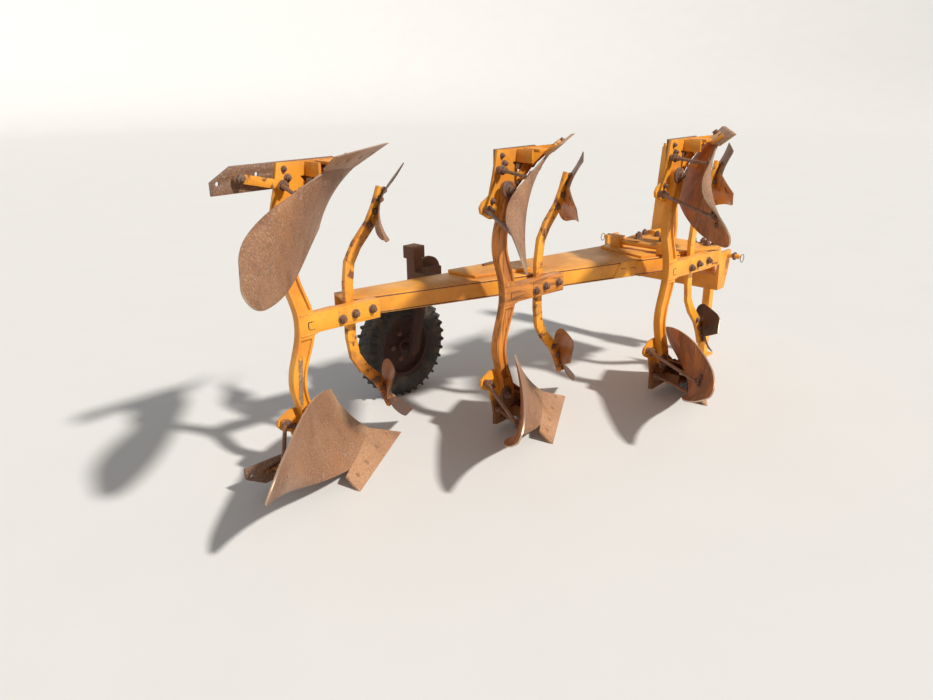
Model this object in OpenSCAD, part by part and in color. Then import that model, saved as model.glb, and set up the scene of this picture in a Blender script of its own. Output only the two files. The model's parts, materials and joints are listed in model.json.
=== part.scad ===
/* [Layout] */
// Sideways step from one plough body to the next, the width of one furrow
furrow_w = 351; // [335:1:365]
// Step from one plough body to the next along the direction of travel
body_pitch = 940; // [920:5:980]
// Height of the turnover axis above the floor
axis_h = 723; // [715:1:740]
// Distance of the turnover axis to the right of the rear share's point
axis_x = 290; // [280:1:300]
// Clearance between pieces that are bolted together
seat_gap = 0.3; // [0.1:0.1:0.5]

/* [Beam] */
// Height of the beam
beam_h = 90; // [84:1:96]
// Width of the beam at its rear end
beam_rear_w = 145; // [130:1:160]
// Width of the beam at its front end
beam_front_w = 474; // [440:2:490]
// How far the beam's rear end lies behind the rear share's point
beam_rear_y = 300; // [290:5:310]
// How far the beam's front end lies behind the front share's point
beam_front_back = 50; // [30:5:80]
// Sideways place of the beam's near side, level with the rear share's point
beam_near_x = 88; // [84:1:92]
// Depth of the open rear end of the beam
beam_pocket = 220; // [150:10:300]
// Thickness of the beam's walls
beam_wall = 9; // [6:1:12]

/* [Body legs] */
// Thickness of a leg
leg_t = 40; // [36:1:44]
// Inner side of a leg, to the right of the share's point
leg_x = 5; // [5:1:8]
// Width of a leg beside the beam
leg_w = 86; // [80:1:92]
// Width of a leg at its narrowest
leg_w_min = 64; // [58:1:70]
// How far the leg's wave swings back and forth
leg_sway = 31; // [24:1:36]
// Height over which the leg swings from front to back
leg_wave = 265; // [250:5:280]
// How far the middle of the leg lies behind the share's point, beside the beam
leg_back = 550; // [540:5:560]
// Height above the floor of the leg's lower end
leg_foot_z = 178; // [170:1:190]
// Width of the rim round the leg's recessed sides
leg_rim = 12; // [9:1:16]
// Depth of the leg's recessed sides
leg_recess = 11; // [6:1:14]

/* [Shares] */
// Width of the cut of one share
share_w = 313; // [300:1:325]
// Length of the share along the direction of travel
share_len = 530; // [515:5:545]
// Slope of the share, in degrees above the floor
share_slope = 40; // [37:1:43]
// Depth of the share behind its point
share_deep = 142; // [136:1:148]
// Depth of the share at its wing
share_wing_deep = 92; // [85:1:98]
// Thickness of the share
share_t = 12; // [9:1:14]

/* [Moldboards] */
// Thickness of a moldboard
board_t = 8; // [6:0.5:10]
// Steps in the moldboard's length
board_nu = 14; // [8:1:20]
// Steps in the moldboard's height
board_nv = 8; // [5:1:12]

/* [Landsides and frogs] */
// Thickness of a landside
land_t = 12; // [10:1:14]
// Height of a landside
land_h = 105; // [95:1:110]
// Distance of the rear body's landside heel behind the share's point
land_heel = 894; // [880:2:910]
// Distance of the other bodies' landside heels behind their shares' points
land_heel_short = 606; // [596:2:616]
// Distance of the landside's front end behind the share's point
land_toe = 245; // [235:5:270]
// Height of the landside's lower edge above the floor
land_z = 34; // [28:1:40]
// Thickness of the frog's side plate
frog_t = 13; // [12:0.5:13]
// Thickness of the flat stay strap
strap_t = 8; // [6:1:10]
// Radius of the round stay rod
stay_r = 9; // [7:0.5:11]

/* [Skimmers] */
// Thickness of a skimmer's leg
skim_t = 22; // [18:1:24]
// Width of a skimmer's leg
skim_w = 50; // [44:1:56]
// Thickness of a skimmer's board
skim_board_t = 6; // [5:0.5:8]

/* [Gauge wheel] */
// Radius of the gauge wheel
wheel_r = 286; // [278:1:290]
// Width of the gauge wheel's tyre
wheel_w = 120; // [105:1:130]
// Distance of the wheel's middle to the left of the rear share's point
wheel_x = 400; // [395:1:410]
// Place of the wheel's axle ahead of the rear share's point
wheel_y = 372; // [360:1:380]
// Place of the wheel arm's pivot ahead of the rear share's point
arm_pivot_y = 470; // [460:1:480]
// Radius of the rim
rim_r = 178; // [170:1:185]
// Radius of the wheel's axle
axle_r = 20; // [16:1:22]
// Running clearance of the wheel on its axle and of the arm on its pivot
axle_gap = 0.06; // [0.03:0.01:0.1]

/* [Headstock] */
// Distance between the shoulders of the lower hitch pins
hitch_span = 825; // [815:1:835]
// Radius of the lower hitch pins
hitch_pin_r = 14; // [13.5:0.25:14.5]
// Length of the lower hitch pins
hitch_pin_len = 72; // [66:1:80]
// Height of the lower hitch pins above the floor
hitch_z = 671; // [660:1:680]
// Distance of the lower hitch pins ahead of the front share's point
hitch_ahead = 220; // [215:1:230]
// How far the mast's plate lies behind the lower hitch pins
mast_back = 80; // [76:1:90]
// Width of the mast's plate at its foot
mast_w = 170; // [166:2:180]
// Thickness of the mast's plate
mast_t = 25; // [20:1:30]
// Height of the hitch frame's crossbar
crossbar_h = 90; // [80:1:100]
// Width of the carriage's plates
carriage_w = 545; // [530:5:560]
// Height of the top link hole above the lower hitch pins
mast_h = 610; // [600:5:620]
// Radius of the top link hole
top_hole_r = 12.8; // [12.6:0.1:13]
// Radius of the turnover shaft
shaft_r = 45; // [42:1:50]
// Running clearance in the turnover bearing
shaft_gap = 0.08; // [0.05:0.01:0.1]
// Radius of the crank that the turnover cylinder pushes
crank_r = 140; // [135:1:145]
// Height of the cylinder's upper pin above the turnover axis
anchor_h = 450; // [440:2:460]
// Outer radius of the turnover cylinder
barrel_r = 32; // [28:1:36]
// Distance of the carriage's swivel to the right of the turnover axis
pivot_side = 111; // [105:1:117]
// How far the carriage's swivel lies behind the beam's front end
pivot_back = 378; // [370:2:386]
// Length of the screw that sets the working width
screw_len = 260; // [256:1:262]

/* [Hidden] */
$fn = 48;
BODIES = ["rear", "mid", "front"];
SIDES = ["lower", "upper"];
function side_nodes(word) = [for (b = BODIES, s = SIDES) str(word, "_", b, "_", s)];
function body_nodes(word) = [for (b = BODIES) str(word, "_", b)];

yellow = "#e89a1c";
rust = "#8a5a41";
steel = "#a8a29a";
black = "#20201f";

// Bezier curves through two, three or four control points
function bez2(a, b, c, t) = (1 - t) * (1 - t) * a + 2 * t * (1 - t) * b + t * t * c;
function bez3(a, b, c, d, t) =
    (1 - t) * bez2(a, b, c, t) + t * bez2(b, c, d, t);
// A net has a lower, a middle and an upper row of four points each
function net_row(r, u) = bez3(r[0], r[1], r[2], r[3], u);
function net_point(net, u, v) =
    bez2(net_row(net[0], u), net_row(net[1], u), net_row(net[2], u), v);
function unit(a) = a / norm(a);
function net_normal(net, u, v, d = 0.02) =
    unit(cross(
        net_point(net, u, min(1, v + d)) - net_point(net, u, max(0, v - d)),
        net_point(net, min(1, u + d), v) - net_point(net, max(0, u - d), v)));

// Bends the lines of a net round the two corners at its far end
function bent(u, v, c) =
    let (r = v < 0.5 ? c[1] : c[2], a = (u - 1 + c[0]) / c[0], b = 1 - min(v, 1 - v) / r)
    a <= 0 || b <= 0 ? [u, v]
        : let (w = r * (1 - b * sqrt(1 - a * a / 2)))
            [1 - c[0] + c[0] * a * sqrt(1 - b * b / 2), v < 0.5 ? w : 1 - w];
// Grid of places on a net, with square corners where c is empty
function net_grid(nu, nv, c) = [for (i = [0:nu], j = [0:nv])
    len(c) == 0 ? [i / nu, j / nv] : bent(i / nu, j / nv, c)];

// Curved plate over a net, its thickness laid behind the working face, or lifted in front of it
module net_shell(net, t, nu, nv, lift = 0, corners = []) {
    row = nv + 1;
    half = (nu + 1) * row;
    grid = net_grid(nu, nv, corners);
    face = [for (g = grid) net_point(net, g[0], g[1]) + lift * net_normal(net, g[0], g[1])];
    back = [for (g = grid) net_point(net, g[0], g[1]) - t * net_normal(net, g[0], g[1])];
    quads = [for (i = [0:nu - 1], j = [0:nv - 1])
        [i * row + j, (i + 1) * row + j, (i + 1) * row + j + 1, i * row + j + 1]];
    outer = [for (q = quads) [q[0], q[1], q[2]]];
    outer2 = [for (q = quads) [q[0], q[2], q[3]]];
    inner = [for (q = quads) [half + q[0], half + q[2], half + q[1]]];
    inner2 = [for (q = quads) [half + q[0], half + q[3], half + q[2]]];
    rim = concat(
        [for (i = [0:nu - 1]) [i * row, (i + 1) * row]],
        [for (j = [0:nv - 1]) [nu * row + j, nu * row + j + 1]],
        [for (i = [nu:-1:1]) [i * row + nv, (i - 1) * row + nv]],
        [for (j = [nv:-1:1]) [j, j - 1]]);
    walls = [for (e = rim) [e[0], half + e[1], e[1]]];
    walls2 = [for (e = rim) [e[0], half + e[0], half + e[1]]];
    polyhedron(concat(face, back), concat(outer, outer2, inner, inner2, walls, walls2));
}

// Frame behind a net: x along the plate, z along its normal, at a depth behind the working face
module behind_net(net, u, v, depth) {
    n = net_normal(net, u, v);
    a = unit(net_point(net, u + 0.02, v) - net_point(net, u - 0.02, v));
    b = cross(n, a);
    p = net_point(net, u, v) - depth * n;
    multmatrix([
        [a.x, b.x, n.x, p.x],
        [a.y, b.y, n.y, p.y],
        [a.z, b.z, n.z, p.z],
        [0, 0, 0, 1]]) children();
}

beam_front_y = 2 * body_pitch - beam_front_back;
beam_slope = furrow_w / body_pitch;
beam_angle = atan(beam_slope);
beam_near = beam_near_x - beam_slope * beam_rear_y;
beam_front = beam_near_x + beam_slope * beam_front_y;
function beam_side_x(y) = beam_near_x + beam_slope * y;
beam_far_rear = [
    beam_near - beam_rear_w * cos(beam_angle),
    -beam_rear_y + beam_rear_w * sin(beam_angle)];
beam_far_front = [beam_front - beam_front_w, beam_front_y];
beam_far_slope = (beam_far_front.x - beam_far_rear.x) / (beam_far_front.y - beam_far_rear.y);
function beam_far_x(y) = beam_far_rear.x + beam_far_slope * (y - beam_far_rear.y);
beam_top = axis_h + beam_h / 2;

share_angle = atan2(share_len, share_w);
share_edge = norm([share_w, share_len]);
share_heel_s = share_edge * 0.96;
share_toe_s = (share_deep * cos(share_slope) * sin(share_angle) - 8) / cos(share_angle);

// Control points of the moldboard: from the shin to the wing, lower, middle and upper row
BOARD_NET = [
    [[19, -137, 42], [168, -378, 7], [292, -649, 88], [366, -1019, 186]],
    [[-55, -310, 157], [109, -552, 176], [337, -795, 218], [540, -1141, 234]],
    [[-56, -379, 344], [150, -652, 463], [439, -883, 499], [669, -1199, 400]]];
// Rounding of the wing's corners: share of the length, of the height below and of the height above
WING_ROUND = [0.16, 0.22, 0.26];

// Control points of the skimmer's board, in the same order
SKIM_NET = [
    [[-9, -21, 206], [49, -115, 237], [120, -189, 276], [204, -251, 326]],
    [[-37, -117, 293], [44, -134, 321], [115, -171, 347], [187, -214, 377]],
    [[-16, -71, 444], [76, -82, 410], [134, -131, 394], [183, -193, 413]]];

// The skimmer's share carries the first part of the board's slope on downwards, to its own edge
SKIM_EDGE = [[-8, 93, 98], [24, 47, 108], [56, 2, 120], [88, -44, 133]];
skim_share_end = 0.44;
function first_part(r, t) =
    [r[0], (1 - t) * r[0] + t * r[1], bez2(r[0], r[1], r[2], t), net_row(r, t)];
function below_skim(d) =
    let (a = first_part(SKIM_NET[0], skim_share_end), b = first_part(SKIM_NET[1], skim_share_end))
    [for (i = [0:3]) a[i] + d * unit(a[i] - b[i])];
function skim_share(top) = [SKIM_EDGE, below_skim(62), below_skim(top)];

// Middle line of the skimmer's leg from its foot up: distance behind the share's point and height
SKIM_LINE = [[-70, 190], [-105, 270], [-150, 345], [-235, 430], [-280, 500], [-296, 600]];

board_points = [for (g = net_grid(board_nu, board_nv, WING_ROUND), t = [0, board_t])
    net_point(BOARD_NET, g[0], g[1]) - t * net_normal(BOARD_NET, g[0], g[1])];

hitch_y = 2 * body_pitch + hitch_ahead;
mast_y = hitch_y - mast_back;
bearing_y = mast_y - 115;
crank_y = mast_y + mast_t + 6;
crank_t = 20;
cyl_y = crank_y + crank_t + 5 + barrel_r;
stand_w = 50;
socket_wall = 8;
stand_x = axis_x + hitch_span / 2 - 112.5;
stand_y = mast_y + 60 + socket_wall + seat_gap;
front_y = stand_y + stand_w + seat_gap + socket_wall;
origin_x = (2 * furrow_w + max([for (p = board_points) p.x]) - wheel_x - wheel_w / 2) / 2;
origin_y = (front_y + min([for (p = board_points) p.y])) / 2;

module place() {
    translate([-origin_x, -origin_y, 0]) children();
}

// A body's lower half is drawn, and its upper half is its mirror image
module at_body(b, s = 0) {
    place()
        translate([b * furrow_w, b * body_pitch, s * 2 * axis_h])
            mirror([0, 0, s]) children();
}

module both_halves() {
    children();
    translate([0, 0, 2 * axis_h]) mirror([0, 0, 1]) children();
}

// Profile in the plane of travel, with a thickness from x0 to x0 + t
module side_plate(x0, t) {
    translate([x0, 0, 0]) rotate([90, 0, 90]) linear_extrude(t) children();
}

function leg_width(d) = lookup(d, [[0, leg_w], [350, leg_w_min], [530, 76], [660, 90]]);
function leg_mid(d) = d > 2 * leg_wave ? -leg_back
    : -leg_back - leg_sway * (1 - cos(180 * d / leg_wave));
leg_reach = axis_h - leg_foot_z - leg_width(axis_h - leg_foot_z) / 2;
leg_steps = 40;

module leg_outline(inset, reach) {
    levels = [for (i = [-leg_steps:leg_steps]) reach * i / leg_steps];
    for (s = [-1, 1]) translate([leg_mid(reach), axis_h + s * reach])
        circle(r = leg_width(reach) / 2 - inset);
    polygon(concat(
        [for (d = levels) [leg_mid(abs(d)) - leg_width(abs(d)) / 2 + inset, axis_h + d]],
        [for (i = [len(levels) - 1:-1:0])
            [leg_mid(abs(levels[i])) + leg_width(abs(levels[i])) / 2 - inset, axis_h + levels[i]]]));
}

skim_x = leg_x + 16 - skim_t;
arm_front = [83, -172];
arm_inner = skim_x + skim_t + seat_gap;
module leg_arm() {
    h = beam_h / 2;
    translate([0, 0, axis_h - h]) linear_extrude(beam_h) polygon([
        [leg_x, -leg_back - 30], [leg_x + leg_t, -leg_back - 30],
        [leg_x + leg_t + 4, -leg_back + 60], arm_front,
        [beam_side_x(arm_front.y) + seat_gap, arm_front.y],
        [beam_side_x(-202) + seat_gap, -202],
        [arm_inner, -205], [arm_inner, -365],
        [leg_x, -400]]);
}

module leg() {
    color(yellow) union() {
        difference() {
            side_plate(leg_x, leg_t) leg_outline(0, leg_reach);
            both_halves() {
                side_plate(leg_x + leg_t - leg_recess, leg_recess + 1)
                    intersection() {
                        leg_outline(leg_rim, leg_reach);
                        translate([-1000, leg_foot_z + 120])
                            square([1000, axis_h - beam_h / 2 - 20 - leg_foot_z - 120]);
                    }
            }
        }
        leg_arm();
    }
}

module share_frame() {
    rotate([0, 0, -share_angle]) rotate([-share_slope, 0, 0]) children();
}

module share() {
    color(rust) difference() {
        share_frame() translate([0, 0, -share_t]) linear_extrude(share_t) polygon([
            [0, 0], [share_edge, 0],
            [share_heel_s, -share_wing_deep], [share_toe_s, -share_deep]]);
        translate([-100, -share_len - 200, -60]) cube([600, share_len + 400, 60]);
    }
}

// The board is trimmed along the share's rear edge, where it is seated
module moldboard() {
    color(rust) difference() {
        net_shell(BOARD_NET, board_t, board_nu, board_nv, 0, WING_ROUND);
        share_frame() translate([0, 0, -60]) linear_extrude(160) polygon([
            [-300, 300], [share_edge + 200, 300], [share_heel_s + 60, -share_wing_deep],
            [share_heel_s, -share_wing_deep - seat_gap],
            [share_toe_s, -share_deep - seat_gap], [-300, -share_deep - 160]]);
    }
}

land_x = leg_x - seat_gap - frog_t;
// Holes of the long landside: distance behind the share's point, height and radius
LAND_HOLES = [[864, 95, 9], [691, 74, 9]];
module landside(b) {
    heel = b == 0 ? land_heel : land_heel_short;
    rise = b == 0 ? [92, 53] : [0, 0];
    color(rust) difference() {
        side_plate(land_x - seat_gap - land_t, land_t) polygon([
            [-land_toe, land_z + 40], [-land_toe - 70, land_z],
            [-heel + rise[0], land_z], [-heel, land_z + rise[1] + 1],
            [-heel, land_z + land_h], [-land_toe - 75, land_z + land_h]]);
        if (b == 0) for (h = LAND_HOLES)
            translate([land_x - 60, -h[0], h[1]]) rotate([0, 90, 0]) cylinder(r = h[2], h = 80, $fn = 24);
    }
}

frog_seat_t = 14;
// Side plate of the frog, from the toe along the ground, up the rear edge and round the stay's lug
FROG_PLATE = [
    [-150, land_z + 6], [-605, land_z + 3], [-628, 145], [-655, 238], [-704, 262],
    [-722, 285], [-716, 312], [-690, 326], [-655, 345], [-600, 345], [-552, 322],
    [-520, 262], [-482, 236], [-455, 215], [-352, 134]];
// Pads that carry the moldboard: place along and up its net, and the end of the arm on the frog
FROG_PADS = [[[0.22, 0.45], [-2, -455, 180]]];
module frog_pad(pad) {
    at = pad[0];
    root = net_point(BOARD_NET, at[0], at[1])
        - (stay_seat + stay_pad - 2) * net_normal(BOARD_NET, at[0], at[1]);
    behind_net(BOARD_NET, at[0], at[1], stay_seat + stay_pad) cylinder(r = 18, h = stay_pad);
    rod_between(root, pad[1], 6);
}

module frog() {
    color(yellow) difference() {
        union() {
            side_plate(land_x, frog_t) polygon(FROG_PLATE);
            share_frame() translate([0, 0, -share_t - frog_seat_t - seat_gap])
                linear_extrude(frog_seat_t)
                    polygon([[250, -45], [480, -45], [470, -110], [215, -135]]);
            translate([land_x + 1, -470, land_z + 8]) cube([104, 14, 60]);
            translate([land_x, -420, land_z + 8]) cube([110, 80, 14]);
            for (pad = FROG_PADS) frog_pad(pad);
        }
        side_plate(land_x - 1, frog_t + 2) polygon([
            [-497, land_z + 64], [-398, land_z + 66], [-446, land_z + 122]]);
        share_frame() translate([-100, -share_deep - 1, -share_t - seat_gap])
            cube([share_edge + 200, share_deep + 200, 200]);
    }
}

stay_start = [leg_x + 14, -leg_back - 142, 297];
push_start = [leg_x + 14, -600, 124];
// Rods from the frog's plate to the board's back: start, place along and up the board's net, radius
STAY_RODS = [[stay_start, [0.82, 0.7], stay_r], [push_start, [0.64, 0.15], stay_r - 1]];
stay_pad = 10;
stay_seat = board_t + seat_gap + 0.3;
function behind_point(at) = net_point(BOARD_NET, at[0], at[1])
    - (stay_seat + stay_pad) * net_normal(BOARD_NET, at[0], at[1]);
module rod_between(a, b, r) {
    d = b - a;
    translate(a) rotate([0, acos(d.z / norm(d)), atan2(d.y, d.x)]) cylinder(r = r, h = norm(d));
}

strap_x = leg_x + seat_gap;
strap_r = 19;
// Ends of the rear body's strap: place along the landside and height
STRAP_ENDS = [[-782, land_z + 46], [-590, land_z + 92]];
module stay_half(b) {
    for (rod = STAY_RODS) {
        rod_between(rod[0], behind_point(rod[1]), rod[2]);
        behind_net(BOARD_NET, rod[1][0], rod[1][1], stay_seat + stay_pad)
            cylinder(r = 18, h = stay_pad);
        side_plate(strap_x - seat_gap, 26) translate([rod[0].y, rod[0].z]) circle(r = 17);
    }
    if (b == 0) {
        side_plate(strap_x, strap_t) hull() for (e = STRAP_ENDS) translate(e) circle(r = strap_r);
        side_plate(land_x, strap_x - land_x + 1) translate(STRAP_ENDS[0]) circle(r = strap_r - 3);
    }
}

module stays(b) {
    color(yellow) both_halves() stay_half(b);
}

function line_normal(i) =
    let (a = SKIM_LINE[max(0, i - 1)], b = SKIM_LINE[min(len(SKIM_LINE) - 1, i + 1)])
    [-(b - a).y, (b - a).x] / norm(b - a);
module skimmer_leg() {
    n = len(SKIM_LINE);
    right = [for (i = [0:n - 1]) SKIM_LINE[i] - line_normal(i) * skim_w / 2];
    left = [for (i = [0:n - 1]) SKIM_LINE[i] + line_normal(i) * skim_w / 2];
    color(yellow) difference() {
        side_plate(skim_x, skim_t) polygon(concat(
            right, [for (i = [n - 1:-1:0]) [right[i].x, 2 * axis_h - right[i].y]],
            [for (p = left) [p.x, 2 * axis_h - p.y]], [for (i = [n - 1:-1:0]) left[i]]));
        both_halves() for (lift = [15, 90]) {
            net_shell(SKIM_NET, skim_board_t + seat_gap, skim_steps, skim_steps, lift);
            net_shell(skim_share(-3), skim_board_t + 1.5, 3, 2, min(lift, 40));
        }
    }
}

skim_steps = 6;
module skimmer() {
    color(rust) net_shell(SKIM_NET, skim_board_t, skim_steps, skim_steps);
    color(steel) net_shell(skim_share(seat_gap + 0.5), skim_board_t, 3, 2);
}

module beam() {
    color(yellow) place() difference() {
        translate([0, 0, axis_h - beam_h / 2]) linear_extrude(beam_h) polygon([
            [beam_near, -beam_rear_y], [beam_front, beam_front_y],
            beam_far_front, beam_far_rear]);
        translate([beam_near, -beam_rear_y, axis_h - beam_h / 2 + beam_wall])
            rotate([0, 0, -beam_angle])
                translate([-beam_rear_w + beam_wall + 2, -1, 0])
                    cube([beam_rear_w - 2 * beam_wall - 2, beam_pocket, beam_h - 2 * beam_wall]);
    }
}

// Raised plates over and under the beam where the wheel's bracket is bolted
saddle_y = [380, 660];
saddle_t = 16;
module saddle_half() {
    translate([0, 0, beam_top + seat_gap]) linear_extrude(saddle_t) polygon([
        [beam_far_x(saddle_y[0]), saddle_y[0]], [beam_far_x(saddle_y[1]), saddle_y[1]],
        [beam_side_x(saddle_y[1]) - 60, saddle_y[1] + 40],
        [beam_side_x(saddle_y[0]) - 60, saddle_y[0]]]);
}

module beam_saddle() {
    color(yellow) place() both_halves() saddle_half();
}

wheel_z = wheel_r;
arm_x = wheel_x - wheel_w / 2 - 60;
post_x = arm_x - 50;
post_y = 340;
bracket_gap = seat_gap * norm([1, beam_far_slope]);
stop_w = 80;
stop_h = 66;
quadrant_r = 80;
module wheel_bracket() {
    color(rust) place() union() {
        translate([-post_x - 30, post_y - 30, axis_h - 165]) cube([60, 60, 330]);
        translate([0, 0, axis_h - 30]) linear_extrude(60) polygon([
            [-post_x, post_y - 30], [beam_far_x(post_y - 30) - bracket_gap, post_y - 30],
            [beam_far_x(post_y + 30) - bracket_gap, post_y + 30], [-post_x, post_y + 30]]);
        translate([-post_x - 30, post_y, axis_h - 30]) cube([60, arm_pivot_y - post_y + 40, 60]);
        translate([-post_x - 29, arm_pivot_y, axis_h]) rotate([0, -90, 0])
            cylinder(r = axle_r, h = arm_x - post_x + 5);
        for (s = [-1, 1]) translate([-post_x - 42, post_y - stop_w / 2, axis_h + s * 132 - stop_h / 2])
            cube([stop_w, stop_w, stop_h]);
        translate([-post_x - 22, arm_pivot_y, axis_h]) rotate([0, -90, 0])
            cylinder(r = quadrant_r, h = 20);
    }
}

arm_t = 24;
module wheel_arm() {
    color(rust) place() difference() {
        union() {
            hull() {
                translate([-arm_x + arm_t / 2 - 12, arm_pivot_y, axis_h])
                    rotate([0, -90, 0]) cylinder(r = 42, h = arm_t, $fn = 32);
                translate([-arm_x + arm_t / 2 - 12, wheel_y, wheel_z])
                    rotate([0, -90, 0]) cylinder(r = 32, h = arm_t, $fn = 32);
            }
            translate([-arm_x - arm_t + 1, wheel_y, wheel_z]) rotate([0, -90, 0])
                cylinder(r = axle_r, h = wheel_x - arm_x + 20);
        }
        translate([-arm_x + 40, arm_pivot_y, axis_h]) rotate([0, -90, 0])
            cylinder(r = axle_r + axle_gap, h = 120);
    }
}

module wheel_rim() {
    color(rust) place() translate([-wheel_x, wheel_y, wheel_z]) rotate([0, -90, 0])
        rotate_extrude() polygon([
            [axle_r + axle_gap, -34], [44, -34], [44, -8], [rim_r - 22, -8],
            [rim_r - 22, -40], [rim_r, -44], [rim_r, 44], [rim_r - 22, 40],
            [rim_r - 22, 4], [44, 4], [44, 34], [axle_r + axle_gap, 34]]);
}

module wheel_tyre() {
    color(black) place() translate([-wheel_x, wheel_y, wheel_z]) rotate([0, -90, 0])
        rotate_extrude($fn = 72) polygon([
            [rim_r + seat_gap, -44], [rim_r + 25, -54], [wheel_r - 40, -wheel_w / 2],
            [wheel_r - 14, -wheel_w / 2 + 6], [wheel_r, -wheel_w / 2 + 26],
            [wheel_r, wheel_w / 2 - 26], [wheel_r - 14, wheel_w / 2 - 6],
            [wheel_r - 40, wheel_w / 2], [rim_r + 25, 54], [rim_r + seat_gap, 44]]);
}

carriage_t = 12;
carriage_y = beam_front_y + 15;
carriage_plate = 25;
carriage_x = axis_x - 75;
pivot = [axis_x + pivot_side, beam_front_y - pivot_back];
module carriage_half() {
    translate([0, 0, beam_top + seat_gap]) linear_extrude(carriage_t) polygon([
        pivot + [-161, -62], pivot + [159, -142], pivot + [199, -32],
        [carriage_x + carriage_w, beam_front_y - 50],
        [carriage_x + carriage_w, carriage_y + carriage_plate],
        [carriage_x, carriage_y + carriage_plate], [carriage_x, beam_front_y - 50]]);
}

module carriage() {
    z0 = beam_h / 2 + seat_gap + carriage_t;
    color(yellow) place() union() {
        both_halves() carriage_half();
        translate([carriage_x, carriage_y, axis_h - z0]) cube([carriage_w, carriage_plate, 2 * z0]);
        translate([axis_x, carriage_y + 1, axis_h]) rotate([-90, 0, 0])
            cylinder(r = shaft_r, h = crank_y - carriage_y - 1);
        translate([axis_x, carriage_y + carriage_plate - 1, axis_h]) rotate([-90, 0, 0])
            cylinder(r = 85, h = 21);
    }
}

screw_z = beam_top + seat_gap + carriage_t + 32;
module width_screw() {
    color(yellow) place() union() {
        translate([pivot.x - 110, pivot.y - 40, screw_z - 31.7]) cube([60, 60, 64]);
        translate([pivot.x - 60, pivot.y - 10, screw_z]) rotate([0, 90, 0]) cylinder(r = 16, h = screw_len);
        translate([pivot.x - 70 + screw_len, pivot.y - 40, screw_z - 31.7]) cube([50, 60, 64]);
    }
}

module turnover_crank() {
    color(yellow) place() union() {
        translate([axis_x, crank_y, axis_h]) rotate([-90, 0, 0]) cylinder(r = 70, h = crank_t);
        translate([axis_x - crank_r, crank_y, axis_h]) rotate([-90, 0, 0])
            cylinder(r = 36, h = crank_t);
        translate([axis_x - crank_r, crank_y, axis_h - 36]) cube([crank_r, crank_t, 72]);
    }
}

top_z = hitch_z + mast_h;
crossbar_z = hitch_z - 201;
mast_foot = crossbar_z + crossbar_h;
module mast() {
    color(yellow) place() difference() {
        union() {
            translate([axis_x, mast_y + mast_t, 0]) rotate([90, 0, 0]) linear_extrude(mast_t)
                polygon([[-mast_w / 2, mast_foot], [mast_w / 2, mast_foot],
                    [mast_w / 2, mast_foot + 260], [50, top_z + 20],
                    [-50, top_z + 20], [-mast_w / 2, mast_foot + 260]]);
            translate([axis_x, bearing_y, axis_h]) rotate([-90, 0, 0])
                cylinder(r = 78, h = mast_y - bearing_y + 5);
            for (x = [-44, 28])
                translate([axis_x, 0, 0]) side_plate(x, 16) polygon([
                    [mast_y + 1, top_z - 90], [mast_y + mast_t + 20, top_z - 60],
                    [hitch_y + 38, top_z - 30], [hitch_y + 38, top_z + 30],
                    [mast_y + 1, top_z + 40]]);
            translate([axis_x, mast_y + 1, axis_h + anchor_h]) rotate([-90, 0, 0])
                cylinder(r = anchor_r, h = cyl_y + eye_half + 4 - mast_y);
            translate([axis_x, mast_y + 1, axis_h + anchor_h]) rotate([-90, 0, 0])
                cylinder(r = anchor_r + 9, h = cyl_y - eye_half - seat_gap - mast_y - 1);
        }
        translate([axis_x, bearing_y - 10, axis_h]) rotate([-90, 0, 0])
            cylinder(r = shaft_r + shaft_gap, h = 200);
        translate([axis_x - 80, hitch_y, top_z]) rotate([0, 90, 0])
            cylinder(r = top_hole_r, h = 160);
    }
}

arm_w = 18;
socket_w = stand_w + 2 * (socket_wall + seat_gap);
module hitch_frame() {
    half = hitch_span / 2;
    color(yellow) place() union() {
        difference() {
            translate([stand_x - socket_w / 2, mast_y + 59, crossbar_z])
                cube([socket_w, front_y - mast_y - 59, crossbar_h]);
            translate([stand_x - stand_w / 2 - seat_gap, stand_y - seat_gap, crossbar_z - 70])
                cube([stand_w + 2 * seat_gap, stand_w + 2 * seat_gap, 300]);
        }
        translate([axis_x - half + arm_w - 1, mast_y - 30, crossbar_z])
            cube([hitch_span - 2 * arm_w + 2, 90, crossbar_h - seat_gap]);
        for (m = [0, 1]) translate([axis_x, 0, 0]) mirror([m, 0, 0]) {
            side_plate(half - arm_w, arm_w) polygon([
                [mast_y - 30, crossbar_z], [mast_y + 60, crossbar_z], [hitch_y + 30, hitch_z - 40],
                [hitch_y + 30, hitch_z + 32], [mast_y - 30, hitch_z + 32]]);
            translate([half - 1, hitch_y, hitch_z]) rotate([0, 90, 0])
                cylinder(r = hitch_pin_r, h = hitch_pin_len + 1);
        }
    }
}

anchor = [axis_x, cyl_y, axis_h + anchor_h];
cylinder_tilt = atan2(crank_r, anchor_h);
module along_cylinder() {
    translate(anchor) rotate([0, cylinder_tilt, 0]) children();
}

cylinder_len = norm([crank_r, anchor_h]);
rod_r = 14;
barrel_len = 270;
anchor_r = 15;
eye_half = 14;
eye_gap = 0.06;
module cylinder_barrel() {
    color(yellow) place() difference() {
        along_cylinder() union() {
            translate([0, eye_half, 0]) rotate([90, 0, 0]) cylinder(r = 30, h = 2 * eye_half);
            translate([0, 0, -barrel_len]) cylinder(r = barrel_r, h = barrel_len - 25);
        }
        translate([anchor.x, anchor.y - 50, anchor.z]) rotate([-90, 0, 0])
            cylinder(r = anchor_r + eye_gap, h = 100);
        along_cylinder() translate([0, 0, -barrel_len - 1])
            cylinder(r = rod_r + eye_gap, h = barrel_len - 40);
    }
}

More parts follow.
